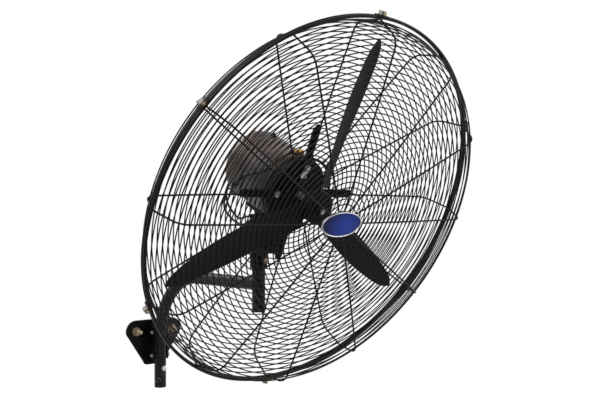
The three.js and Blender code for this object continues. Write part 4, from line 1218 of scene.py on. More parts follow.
@dataclass
class TubeArm:
    """Leg, quarter bend and level reach in one tube, the post welded across its end.

    saddle is the gap between the reach and the post's side. bead is the weld's radius, bead_out how far
    it spreads at the sides, and ripple and ripples the share and number of its waves.
    """

    shop: Workshop
    fasteners: Fasteners
    radius: float = 15.0
    wall: float = 2.5
    lip: float = 0.5
    leg_standoff: float = 33.0
    leg_bottom: float = -144.0
    arm_height: float = 147.5
    bend: float = 165.0
    post_standoff: float = 436.0
    post_bottom: float = 84.0
    post_top: float = 218.0
    screw_height: float = -94.0
    screw_length: float = 4.5
    sides: int = 48
    saddle: float = 0.1
    bead: float = 2.4
    bead_out: float = 0.6
    ripple: float = 0.12
    ripples: int = 16

    def axis(self) -> Array:
        """The tube's axis: a straight leg, a quarter circle and a straight reach.

        Returns:
            Stations, N by 3.
        """
        turn = np.linspace(0, math.pi / 2, 49)
        centre_y, centre_z = -(self.leg_standoff + self.bend), self.arm_height - self.bend
        y = centre_y + self.bend * np.cos(turn)
        z = centre_z + self.bend * np.sin(turn)
        leg = np.array([[0, -self.leg_standoff, self.leg_bottom + z_up] for z_up in (0, 1)])
        curve = np.stack([0 * y, y, z], -1)
        near = np.array([[0, -self.post_standoff + 2 * self.radius, self.arm_height]])
        return np.concatenate([leg, curve, near])

    def skin_rows(self, radius: float) -> Array:
        """Rows of the tube at a radius, the last one fitted to the post's round side.

        The section's angle runs from +x towards the outside of the bend. A point of the last row keeps
        its x and z, and its y lies where the post's cylinder has that x.

        Args:
            radius: outer or inner radius of the tube.

        Returns:
            Rows by sides by 3.
        """
        axis = self.axis()
        way = np.gradient(axis, axis=0)
        way /= np.linalg.norm(way, axis=1)[:, None]
        out = np.stack([0 * way[:, 0], way[:, 2], -way[:, 1]], -1)
        a = turns(self.sides)[None, :, None]
        rows = axis[:, None] + radius * (np.cos(a) * RIGHT + np.sin(a) * out[:, None])
        saddle = rows[-1].copy()
        reach = np.sqrt(np.clip(self.radius ** 2 - saddle[:, 0] ** 2, 0, None)) + self.saddle
        saddle[:, 1] = -self.post_standoff + reach
        return np.concatenate([rows, saddle[None]])

    def build(self) -> None:
        """Builds the arm with its weld, the post and the retaining screw."""
        outer, inner = self.skin_rows(self.radius), self.skin_rows(self.radius - self.wall)
        eased = self.skin_rows(self.radius - self.lip)[:1]
        outer[0, :, 2] += self.lip
        skin = Skin().add(np.concatenate([eased, outer, inner[::-1]]), endless=True)
        weld = outer[-1] + np.array([0, self.bead_out, 0]) * np.abs(outer[-1][:, :1]) / self.radius
        ripple = 1 + self.ripple * np.sin(turns(self.sides) * self.ripples)
        skin.add(self.weld(weld, self.bead * ripple), endless=True)
        self.shop.piece("arm_tube_bent", skin, WALL, "tube_paint", "black_paint", Body.ARM, "arm_tube")
        cut = collar(self.radius - self.wall, self.radius, self.post_bottom, self.post_top, self.lip,
                     self.lip)
        post = Skin().add(upright(revolved(cut, self.sides)), endless=True)
        self.shop.piece("post_tube_cut", post, WALL.moved(y=-self.post_standoff), "tube_paint",
                        "black_paint", Body.ARM, "post_tube")
        seat = WALL.moved(y=-(self.leg_standoff + self.radius + SEAT), z=self.screw_height)
        self.fasteners.bolt("retaining_screw", M8, seat, self.screw_length, Body.ARM, "bright_steel")

    @staticmethod
    def weld(path: Array, radius: Array) -> Array:
        """A bead round a closed path: a circle in the plane of the path's normal and binormal.

        Args:
            path: stations, which close round.
            radius: the bead's radius at each.

        Returns:
            Stations by 8 by 3.
        """
        way = np.roll(path, -1, axis=0) - np.roll(path, 1, axis=0)
        way /= np.linalg.norm(way, axis=1)[:, None]
        out = np.array([0.0, 1.0, 0.0]) - way * way[:, 1:2]
        out /= np.linalg.norm(out, axis=1)[:, None]
        other = np.cross(way, out)
        b = turns(8)[None, :, None]
        section = np.cos(b) * out[:, None] + np.sin(b) * other[:, None]
        return path[:, None] + radius[:, None, None] * section


# ---------------------------------------------------------------- fork, neck and oscillating drive
@dataclass
class Hinge:
    """Tilt fork on its collar, the neck between its cheeks, and their bolts."""

    shop: Workshop
    fasteners: Fasteners
    face: float = 23.5
    bolt_end: float = 3.0
    collar_radius: float = 20.0
    collar_screw_drop: float = 74.5
    collar_screw_length: float = 4.7
    lock_radius: float = 56.0
    lock_turn: float = 12.7

    def build(self) -> None:
        """Builds the fork, the neck and five fasteners."""
        self.shop.eased("tilt_fork", "black_paint", "black_paint", Body.FORK, 0.8)
        screw = LEVEL.moved(y=-(self.collar_radius + SEAT), z=-self.collar_screw_drop)
        self.fasteners.bolt("collar_screw", M8, screw, self.collar_screw_length, Body.FORK)
        self.across("tilt", M10, LEVEL, Body.FORK)
        self.shop.eased("neck", "cast_black", "cast_black", Body.NECK, 1.0)
        turn = math.radians(self.lock_turn)
        lock = TILT.moved(y=-self.lock_radius * math.cos(turn), z=-self.lock_radius * math.sin(turn))
        self.across("lock", M8, lock, Body.NECK)

    def across(self, name: str, thread: Thread, axis: Place, body: Body) -> None:
        """A bolt through both cheeks from the left, and its nut on the right.

        Args:
            name: tilt or lock.
            thread: its sizes.
            axis: the frame at the middle of the bolt.
            body: what both move with.
        """
        length = 2 * self.face + thread.nut + self.bolt_end
        self.fasteners.bolt(f"{name}_bolt", thread, axis.moved(x=-self.face).facing(-1), length, body)
        self.fasteners.nut(f"{name}_nut", thread, axis.moved(x=self.face).facing(1), body)


@dataclass
class Drive:
    """Gearbox, clutch knob, crank and link that swing the head.

    foot_ease is the chamfer at the knob's foot, and button the radius and height of its crown's middle.
    """

    shop: Workshop
    crank_back: float = 266.2
    stem_radius: float = 3.5
    stem_bottom: float = 29.5
    knob_bottom: float = 54.0
    knob_radius: float = 8.5
    knob_height: float = 13.0
    foot_ease: tuple[float, float] = (1.2, 1.5)
    crown_inset: float = 3.5
    crown_height: float = 4.0
    button: tuple[float, float] = (2.0, 0.2)
    flutes: int = 12
    flute_depth: float = 0.055

    def build(self) -> None:
        """Builds the drive's pieces."""
        self.shop.eased("gearbox", "gearbox_brown", "gearbox_brown", Body.HEAD, 3.0)
        self.shop.eased("crank", "dull_steel", "bright_steel", Body.CRANK, 0.5)
        self.shop.eased("link_rod", "dull_steel", "bright_steel", Body.LINK, 0.5)
        self.shop.eased("link_pin", "dull_steel", "bright_steel", Body.NECK, 0.4)
        self.knob()

    def knob(self) -> None:
        """The knob: a fluted, rounded cylinder on a thin stem.

        The radius of the grip waves by the number of flutes, and its top is a low dome.
        """
        low, high, r = self.knob_bottom, self.knob_bottom + self.knob_height, self.knob_radius
        ease, rise = self.foot_ease
        crown = quarter(self.crown_inset, self.crown_height, 8)[1:]
        crown += [r - self.crown_inset, high - self.crown_height]
        profile = np.concatenate([
            [[self.stem_radius, self.stem_bottom], [self.stem_radius, low]],
            [[r - ease, low], [r, low + rise], [r, high - self.crown_height]],
            crown, [[self.button[0], high + self.button[1]]]])
        grid = upright(revolved(profile, 96))
        # how much of the flutes' depth each row has: none on the stem, all of it up the side
        grip = np.array([0, 0, 0.3, 1, 1, *np.linspace(0.9, 0, len(crown)), 0])[:, None]
        wave = 0.5 + 0.5 * np.cos(self.flutes * turns(96))
        grid[..., :2] *= (1 - self.flute_depth * grip * wave[None, :])[..., None]
        self.shop.piece("clutch_knob_fluted", Skin().add(grid), HEAD.moved(y=self.crank_back),
                        "knob_brown", "knob_brown", Body.KNOB, "clutch_knob", sharp=50)


# ---------------------------------------------------------------- motor
@dataclass
class Motor:
    """Drum, bell, swivel foot, guard stays and their screws.

    front_edge lists how far each corner lies under the drum's side and behind its front: a rolled edge
    and a seam groove. groove is where the bell's ring groove starts and ends, outside its boss.
    lifting_collar is radius and height, and pad_layers are scale and y from the stay's front.
    """

    shop: Workshop
    fasteners: Fasteners
    drum_radius: float = 80.0
    drum_front: float = 98.0
    front_edge: tuple[tuple[float, float], ...] = (
        (1.6, 0), (0.5, 0.5), (0, 1.6), (0, 5.0), (0.7, 5.8), (0.7, 6.6), (0, 7.4))
    shoulder: float = 234.0
    drum_rear: float = 257.0
    rear_face: float = 62.0
    rear_dome: float = 0.1
    shaft_end: float = 2.0
    bore: float = 8.0
    seat_depth: float = 22.0
    bell_front: float = 79.0
    bell_back: float = 97.7
    bell_face: float = 74.0
    bell_radius: float = 78.0
    bell_slope: tuple[float, float] = (0.7, 3.2)
    ease: float = 0.8
    groove: tuple[float, float] = (22.0, 27.0)
    groove_depth: float = 0.7
    boss_radius: float = 20.0
    boss_front: float = 73.0
    boss_ease: float = 1.2
    small_screw_circle: float = 32.0
    small_screw_radius: float = 4.2
    small_screw_dome: float = 2.0
    lifting_back: float = 205.0
    lifting_seat: float = 71.3
    lifting_reach: float = 9.0
    lifting_collar: tuple[tuple[float, float], ...] = ((6.2, 80.4), (6.6, 80.9), (6.6, 83.4), (6.0, 84.0))
    stay_front: float = 75.7
    stay_bolt_circle: float = 62.0
    stay_bolt_length: float = 11.0
    stays: dict[str, float] = field(
        default_factory=lambda: {"top": 90, "left": 180, "bottom": 270, "right": 0})
    pad_height: float = 45.5
    pad_half: tuple[float, float] = (8.0, 8.4)
    pad_layers: tuple[tuple[float, float], ...] = ((1, -0.05), (1, -0.95), (0.96, -1.25))

    def build(self) -> None:
        """Builds the motor's pieces."""
        self.drum()
        self.bell()
        self.shop.eased("swivel_foot", "cast_black", "cast_black", Body.HEAD, 1.2)
        skin = Skin().add(upright(M8.rod(self.lifting_seat, self.drum_radius + self.lifting_reach)))
        skin.add(upright(revolved(np.array(self.lifting_collar), 40)))
        self.shop.piece("lifting_screw_thread", skin, HEAD.moved(y=self.lifting_back), "black_paint",
                        "zinc", Body.HEAD, "lifting_screw")
        for name, degrees in self.stays.items():
            self.stay(name, degrees)
        pad = cushion(self.pad_half, 0.22, 48, self.pad_layers) + [0, self.stay_front, 0]
        self.shop.piece("stay_pad", Skin().add(pad), HEAD.moved(z=self.pad_height), "pale_pad",
                        "badge_silver", Body.HEAD)

    def drum(self) -> None:
        """The drum: straight sides, a rolled front edge and an elliptic rear edge, bored for the shaft.

        The rear edge is a quarter ellipse from the side to the rear face, which is slightly domed.
        """
        r, front, rear = self.drum_radius, self.drum_front, self.drum_rear
        dome, seat = rear + self.rear_dome, front + self.seat_depth
        side = [[r - under, front + behind] for under, behind in self.front_edge]
        side += [[r, self.shoulder - 3.0], [r, self.shoulder - 1.0]]
        edge = quarter(r - self.rear_face, rear - self.shoulder, 20) + [self.rear_face, self.shoulder]
        face = [[r / 2, dome], [r / 8, dome], [self.shaft_end, dome]]
        hole = [[self.shaft_end, seat], [self.bore, seat], [self.bore, front],
                [self.bore + 1, front - 0.1]]
        profile = np.concatenate([side, edge, face, hole])
        self.shop.piece("motor_drum_shell", Skin().add(revolved(profile, 128), endless=True), HEAD,
                        "drum_enamel", "motor_grey", Body.HEAD, "motor_drum", sharp=30)

    def bell(self) -> None:
        """The bell: a turned cap with a bearing boss, a shallow ring groove and four small screws."""
        front, back, low = self.bell_front, self.bell_back, self.bell_front + self.groove_depth
        b, f, r = self.boss_radius, self.bell_face, self.bell_radius
        inner, outer = (b + at for at in self.groove)
        drop, slope = self.bell_slope
        boss = [[self.bore, self.boss_front + self.ease], [self.bore + self.ease, self.boss_front],
                [b - self.boss_ease, self.boss_front], [b, self.boss_front + self.boss_ease],
                [b, front - self.ease], [b + self.ease, front]]
        ring = [[inner, front], [inner + self.ease, low], [outer - self.ease, low], [outer, front]]
        side = [[f - 1.5, front], [f, front + 0.6], [r - drop, front + slope],
                [r, front + slope + self.boss_ease], [r, back - 0.6], [r - 0.6, back], [self.bore, back]]
        skin = Skin().add(revolved(np.concatenate([boss, ring, side]), 128), endless=True)
        self.shop.piece("motor_bell_turned", skin, HEAD, "bell_black", "bell_black", Body.HEAD,
                        "motor_bell")
        screws = Skin()
        radius = self.small_screw_radius
        dome = quarter(radius, -self.small_screw_dome, 6)[:-1] + [0, front - self.ease]
        profile = np.concatenate([[[radius - 0.6, front + 0.4], [radius, front]], dome])
        for degrees in self.stays.values():
            at = around(self.small_screw_circle, 0.0, math.radians(degrees))
            screws.add(revolved(profile, 28) + at)
        self.shop.piece("bell_screws", screws, HEAD, "bright_steel", "bright_steel", Body.HEAD)

    def stay(self, name: str, degrees: float) -> None:
        """One guard stay and the bolt that holds it to the bell.

        Args:
            name: top, left, bottom or right.
            degrees: its direction from +x towards +z.
        """
        self.shop.eased(f"guard_stay_{name}", "stay_brown", "stay_brown", Body.HEAD, 0.6)
        place = HEAD.turned(degrees).moved(x=self.stay_bolt_circle, y=self.stay_front - SEAT)
        self.fasteners.bolt(f"stay_bolt_{name}", M8, place, self.stay_bolt_length, Body.HEAD,
                            "bright_steel", "bright_steel")


# ---------------------------------------------------------------- rotor
@dataclass
class Rotor:
    """Three twisted blades on a hub, its shaft and nut.

    shares to backs are the blade's table, from root to tip: share of the way, chord, pitch in degrees and
    how far the middle surface lies behind the rim. dense_from and tip_from are shares too, where the
    stations draw together and where the tip begins to close. Depths count from the rim's plane towards
    the wall.
    """

    shop: Workshop
    radius: float = 378.0
    root: float = 44.0
    first: float = 84.7
    thickness: float = 2.0
    camber: float = 0.05
    sweep: float = 11.0
    dense_from: float = 0.94
    tip_from: float = 0.965
    tip_span: float = 0.0352
    hub_radius: float = 36.0
    hub_face: float = -2.0
    hub_edge: float = 22.5
    hub_bore: float = 7.8
    neck_radius: float = 19.0
    neck_end: float = 40.0
    ease: float = 0.8
    arm_reach: float = 104.0
    arm_width: float = 26.0
    arm_thickness: float = 4.0
    arm_round_from: float = 92.0
    arm_round: float = 12.2
    rivets_at: tuple[float, ...] = (56.0, 75.0, 94.0)
    rivet_radius: float = 4.4
    rivet_dome: float = 1.1
    rivet_foot: float = 0.6
    shaft_radius: float = 7.5
    shaft_ends: tuple[float, float] = (-14.0, 119.0)
    washer_radius: float = 16.0
    washer_ends: tuple[float, float] = (-2.3, -4.3)
    nut_bore: float = 15.6
    shares: tuple[float, ...] = (0, 0.16, 0.32, 0.47, 0.62, 0.77, 0.89, 0.97, 1)
    chords: tuple[float, ...] = (50, 55, 59, 60, 57, 48, 37, 20, 8)
    pitches: tuple[float, ...] = (30, 28.6, 25, 20.6, 16, 12, 8, 6, 6)
    backs: tuple[float, ...] = (9, 12.6, 15, 15.5, 14, 11.6, 9, 7.4, 7)

    def table(self, radii: Array, values: tuple[float, ...]) -> Array:
        """One column of the blade's table at some radii, smoothed.

        Args:
            radii: where it is asked for; inside the root the root's value holds.
            values: the column.

        Returns:
            One value for each radius.
        """
        share = np.clip((radii - self.root) / (self.radius - self.root), 0, 1)
        return smooth(share, np.array(self.shares), np.array(values, float))

    def lean(self, radii: Array) -> Array:
        """How far the blade sweeps forward: it grows with the square of the radius."""
        return self.sweep * (radii / self.radius) ** 2

    def strip(self, radii: Array, widths: Array, thickness: float, camber: float, offset: Array,
              columns: int) -> Array:
        """A twisted strip along +x with rounded edges.

        Across the strip u runs from -1 to 1. A point lies u half widths along the pitched chord, and off
        it by the camber's parabola, the offset and the half thickness times the root of 1 - u to the 8th.

        Args:
            radii: stations from root to tip.
            widths: the strip's width at each.
            thickness: full thickness.
            camber: bow at the middle as a share of the chord.
            offset: distance behind the blade's middle surface at each station.
            columns: points across each face.

        Returns:
            Stations by 2 * columns by 3.
        """
        pitch = np.radians(self.table(radii, self.pitches))[:, None]
        back = self.table(radii, self.backs)[:, None]
        u = np.cos(np.linspace(0, math.pi, columns))
        u = np.concatenate([u, -u])[None, :]
        side = np.repeat([-1.0, 1.0], columns)[None, :]
        along = u * widths[:, None] / 2
        depth = side * thickness / 2 * np.sqrt(np.clip(1 - u ** 8, 0.02, 1))
        bow = camber * widths[:, None] * (1 - u ** 2) + offset[:, None] + depth
        y = back - along * np.sin(pitch) + bow * np.cos(pitch)
        z = self.lean(radii)[:, None] + along * np.cos(pitch) + bow * np.sin(pitch)
        return np.stack([np.broadcast_to(radii[:, None], y.shape), y, z], -1)

    @staticmethod
    def rounded(at: Array, start: float, span: float, least: float) -> Array:
        """Share of the width that an end keeps: a quarter ellipse past its start.

        Args:
            at: stations.
            start: where the end begins to close.
            span: how far past it the width would be nothing.
            least: the square of the smallest share.

        Returns:
            One share for each station.
        """
        return np.sqrt(np.clip(1 - ((at - start) / span) ** 2 * (at > start), least, 1))

    def blade(self) -> Skin:
        """One blade with its three rivets.

        Returns:
            The blade along +x.
        """
        close = 1 - self.dense_from
        tip = self.dense_from + close * np.sin(np.linspace(0.1, 1.53, 16))
        share = np.concatenate([np.linspace(0, self.dense_from, 72), tip])
        radii = self.root + share * (self.radius - self.root)
        widths = self.table(radii, self.chords) * self.rounded(share, self.tip_from, self.tip_span, 0.004)
        skin = Skin().add(self.strip(radii, widths, self.thickness, self.camber, 0 * radii, 22))
        for rivet in self.rivets():
            skin.add(rivet)
        return skin

    def arm(self) -> Array:
        """One arm of the hub, behind a blade and as pitched as it is.

        Returns:
            The arm's grid along +x.
        """
        radii = np.linspace(self.hub_radius / 2, self.arm_reach, 24)
        widths = self.arm_width * self.rounded(radii, self.arm_round_from, self.arm_round, 0.03)
        behind = self.camber * self.table(radii, self.chords)
        behind = behind + (self.thickness + self.arm_thickness) / 2 + SEAT
        return self.strip(radii, widths, self.arm_thickness, 0, behind, 8)

    def build(self) -> None:
        """Builds blades, hub, shaft and nut."""
        hub, arm = Skin().add(revolved(self.hub_profile(), 96), endless=True), self.arm()
        for k in range(3):
            degrees = self.first + 120 * k
            self.shop.piece(f"blade_{k + 1}_formed", self.blade(), HEAD.turned(degrees), "blade_black",
                            "blade_black", Body.ROTOR, f"blade_{k + 1}", sharp=50)
            c, s = math.cos(math.radians(degrees)), math.sin(math.radians(degrees))
            hub.add(arm @ np.array([[c, 0, s], [0, 1, 0], [-s, 0, c]]))
        self.shop.piece("rotor_hub_cast", hub, HEAD, "cast_black", "cast_black", Body.ROTOR, "rotor_hub")
        r, (front, rear) = self.shaft_radius, self.shaft_ends
        shaft = np.array([[r - 1.2, front], [r, front + 1.2], [r, rear]])
        self.shop.piece("rotor_shaft_turned", Skin().add(revolved(shaft, 48)), HEAD, "bright_steel",
                        "bright_steel", Body.ROTOR, "rotor_shaft")
        seat, face = self.washer_ends
        skin = HUB_THREAD.hexagon(seat, seat - HUB_THREAD.nut, self.nut_bore)
        washer = collar(self.hub_bore, self.washer_radius, seat, face, 0.4, 0.3)
        skin.add(revolved(washer, 48), endless=True)
        self.shop.piece("hub_nut_hex", skin, HEAD, "dark_nut", "bright_steel", Body.ROTOR, "hub_nut")

    def hub_profile(self) -> Array:
        """The hub from its bore over the front face, with a raised ring, to the neck.

        Returns:
            Radius and y, N by 2.
        """
        r, neck, bore, ease = self.hub_radius, self.neck_radius, self.hub_bore, self.ease
        face, end, low = self.hub_face, self.neck_end, self.hub_face + self.ease
        return np.array([[bore, low], [bore + ease, face], [17, face], [18, low], [24, low], [25, face],
                         [r - 3, face], [r - 1, low], [r, 1], [r, self.hub_edge],
                         [r - ease, self.hub_edge + 1.5], [neck + 4, 25.2], [neck + 0.6, 27.5],
                         [neck, 30], [neck, end - ease], [neck - ease, end], [bore, end]])

    def rivets(self) -> list[Array]:
        """Three low domes down the middle of a blade's root, over the hub's arm.

        Returns:
            One grid for each rivet.
        """
        domes = []
        dome = quarter(self.rivet_radius, -self.rivet_dome, 5)[:-1]
        flat = revolved(np.concatenate([[[self.rivet_radius, self.rivet_foot]], dome]), 20)
        for radius in np.array(self.rivets_at)[:, None]:
            pitch = math.radians(self.table(radius, self.pitches)[0])
            bow = self.camber * self.table(radius, self.chords)[0] - self.thickness / 2
            back = self.table(radius, self.backs)[0]
            c, s = math.cos(pitch), math.sin(pitch)
            level = flat @ np.array([[1, 0, 0], [0, c, s], [0, -s, c]])
            domes.append(level + [radius[0], back + bow * c, self.lean(radius)[0] + bow * s])
        return domes


# ---------------------------------------------------------------- guard
@dataclass
class Grille:
    """One half of the wire guard: a hoop, bent spokes and rings welded inside them.

    side is -1 for the front half and 1 for the rear one. foot is where a spoke starts: how deep it bites
    into the hoop and how far from the rim's plane. facet is a ring's least step along its own length.
    """

    side: int
    centre_depth: float
    inner: float
    last_ring: float
    rim_radius: float = 422.0
    hoop_wire: float = 3.4
    hoop_gap: float = 0.1
    spoke_wire: float = 1.9
    foot: tuple[float, float] = (0.6, 1.6)
    ring_wire: float = 1.35
    ring_pitch: float = 12.6
    ring_bite: float = 0.35
    first_ring: float = 9.0
    facet: float = 2.6
    ring_steps: tuple[int, int] = (48, 144)
    shoulder_radius: float = 396.5
    shoulder_depth: float = 62.0
    rounding: float = 24.0
    spokes: int = 12

    def profile(self) -> Array:
        """Middle line of a spoke as radius and depth, from the hoop to the middle.

        A straight side band, a quadratic curve round the shoulder, and a dome whose depth falls with
        the square of the radius.

        Returns:
            Points, N by 2.
        """
        bite, start = self.foot
        rim = np.array([self.rim_radius - self.hoop_wire - self.spoke_wire + bite, start])
        corner = np.array([self.shoulder_radius, self.shoulder_depth])
        side = (corner - rim) / np.linalg.norm(corner - rim) * self.rounding
        face_radius = self.shoulder_radius - self.rounding
        face = np.array([face_radius, self.dome(face_radius)])
        t = np.linspace(0, 1, 14)[:, None]
        bend = (1 - t) ** 2 * (corner - side) + 2 * t * (1 - t) * corner + t ** 2 * face
        straight = rim + (corner - side - rim) * np.linspace(0, 1, 8)[:-1, None]
        radii = np.linspace(face_radius, self.inner, 40)[1:]
        return np.concatenate([straight, bend, np.stack([radii, self.dome(radii)], -1)])

    def dome(self, radius: Array | float) -> Array | float:
        """Depth of the dome at a radius: it falls with the radius squared."""
        fall = self.centre_depth - self.shoulder_depth
        return self.centre_depth - fall * (radius / self.shoulder_radius) ** 2

    def rings(self) -> tuple[Array, Array]:
        """Middles of the ring wires, at equal steps along the profile and inside the spokes.

        Returns:
            Their radii and depths.
        """
        line = self.profile()
        length = np.concatenate([[0], np.cumsum(np.linalg.norm(np.diff(line, axis=0), axis=1))])
        at = np.arange(self.first_ring, length[-1], self.ring_pitch)
        r, d = (np.interp(at, length, line[:, k]) for k in range(2))
        way = np.gradient(line, length, axis=0)
        wr, wd = (np.interp(at, length, way[:, k]) for k in range(2))
        size = np.hypot(wr, wd)
        inset = self.spoke_wire + self.ring_wire - self.ring_bite
        r, d = r - inset * wd / size, d + inset * wr / size
        keep = r > self.last_ring
        return r[keep], d[keep]

    def skin(self) -> Skin:
        """Every wire of this half.

        Returns:
            The hoop, the rings and the spokes in one skin.
        """
        skin = Skin()
        skin.add(hoop(self.rim_radius, self.side * (self.hoop_wire + self.hoop_gap), self.hoop_wire, 216,
                      14), endless=True)
        for radius, depth in zip(*self.rings()):
            steps = int(np.clip(radius / self.facet, *self.ring_steps))
            skin.add(hoop(radius, self.side * depth, self.ring_wire, steps, 8), endless=True)
        line = self.profile()
        for a in turns(self.spokes):
            skin.add(tube(around(line[:, 0], self.side * line[:, 1], a), self.spoke_wire, 10))
        return skin


@dataclass
class Guard:
    """Both halves of the guard, the clips round their hoops and the badge.

    lug_layers are a lug's outlines: share of its half sizes and y. badge_section is the oval rim's
    section: distance in from the oval and in front of the badge's back. The plate's edge lies plate_rise
    in front of that back, and its middle plate_dome more.
    """

    shop: Workshop
    front_depth: float = 71.0
    rear_depth: float = 73.4
    disc_radius: float = 30.0
    disc_half: float = 1.5
    spoke_end: float = 26.0
    ring_radius: float = 84.0
    ring_half: float = 3.0
    ring_depth: float = 1.8
    ring_ease: float = 0.4
    clips: tuple[int, ...] = (90, 30, -30, -90, -150, 150)
    lug_radius: float = 430.9
    lug_half: tuple[float, float] = (4.3, 5.4)
    lug_layers: tuple[tuple[float, float], ...] = ((0.9, 5.0), (1.0, 4.4), (1.0, -4.4), (0.9, -5.0))
    screw_seat: float = -6.2
    screw_ends: tuple[float, float] = (-6.4, 9.5)
    badge_back: float = -73.3
    badge_half: tuple[float, float] = (56.0, 29.0)
    badge_section: tuple[tuple[float, float], ...] = (
        (0, 0), (0, 2.4), (0.5, 3.5), (1.5, 4.0), (2.4, 3.5), (3, 2.6), (3, 0))
    plate_inset: float = 3.2
    plate_rise: float = 2.4
    plate_dome: float = 1.4

    def build(self) -> None:
        """Builds both halves, the clips and the badge."""
        front = Grille(-1, self.front_depth, self.spoke_end, self.disc_radius + 3).skin()
        front.add(revolved(self.disc(), 72))
        rear = Grille(1, self.rear_depth, self.ring_radius, self.ring_radius + 6).skin()
        rear.add(revolved(self.ring(), 96), endless=True)
        for node, skin in (("front_guard", front), ("rear_guard", rear)):
            self.shop.piece(f"{node}_wires", skin, HEAD, "guard_wire", "guard_black", Body.HEAD, node,
                            sharp=60)
        for degrees in self.clips:
            self.clip(degrees)
        self.badge()

    def disc(self) -> Array:
        """Section of the disc that the front spokes end on, from its edge to its middle.

        Returns:
            Radius and y, N by 2.
        """
        d, t, r = self.front_depth, self.disc_half, self.disc_radius
        return np.array([[r - 4, -d + t], [r - 0.8, -d + t], [r, -d + 0.3], [r - 0.4, -d - t + 0.5],
                         [r - 3, -d - t], [8, -d - t - 0.2]])

    def ring(self) -> Array:
        """Section of the flat ring that the rear spokes end on, with eased corners.

        Returns:
            Radius and y, 8 by 2.
        """
        d, t, r, w, e = self.rear_depth, self.ring_depth, self.ring_radius, self.ring_half, self.ring_ease
        return np.array([[r - w, d - t + e], [r - w + e, d - t], [r + w - e, d - t], [r + w, d - t + e],
                         [r + w, d + t - e], [r + w - e, d + t], [r - w + e, d + t], [r - w, d + t - e]])

    def clip(self, degrees: int) -> None:
        """One rim clip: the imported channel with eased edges, a pale lug and its screw.

        Args:
            degrees: its place round the rim.
        """
        name = f"m{-degrees}" if degrees < 0 else f"{degrees}"
        self.shop.eased(f"rim_clip_{name}", "guard_wire", "guard_black", Body.HEAD, 0.5)
        place = HEAD.turned(degrees)
        lug = cushion(self.lug_half, 0.3, 40, self.lug_layers) + [self.lug_radius, 0, 0]
        self.shop.piece(f"rim_lug_{name}", Skin().add(lug), place, "pale_lug", "badge_silver", Body.HEAD)
        screw = LUG_SCREW.hexagon(self.screw_seat, self.screw_seat - LUG_SCREW.head)
        screw.add(LUG_SCREW.rod(*self.screw_ends))
        self.shop.piece(f"rim_screw_{name}", screw, place.moved(x=self.lug_radius), "zinc", "zinc",
                        Body.HEAD)

    def badge(self) -> None:
        """The badge: an oval rim of half-round section and a bare domed plate.

        The dome's height falls with the square of the share of the way to the edge.
        """
        a = turns(120)

        def oval(inset: float, share: float, front: float) -> Array:
            """The badge's outline, drawn in by an inset, scaled by a share and set forward."""
            x, z = ((half - inset) * share for half in self.badge_half)
            return np.stack([x * np.cos(a), 0 * a + self.badge_back - front, z * np.sin(a)], -1)

        rim = np.stack([oval(inset, 1, front) for inset, front in self.badge_section])
        self.shop.piece("badge_rim_bright", Skin().add(rim, endless=True), HEAD, "badge_silver",
                        "badge_silver", Body.HEAD, "badge_rim")
        plate = [oval(self.plate_inset, 1, 0)]
        plate += [oval(self.plate_inset, share, self.plate_rise + self.plate_dome * (1 - share * share))
                  for share in np.linspace(1, 0.02, 16)]
        self.shop.piece("badge_plate_domed", Skin().add(np.stack(plate)), HEAD, "badge_blue",
                        "badge_blue", Body.HEAD, "badge_plate")


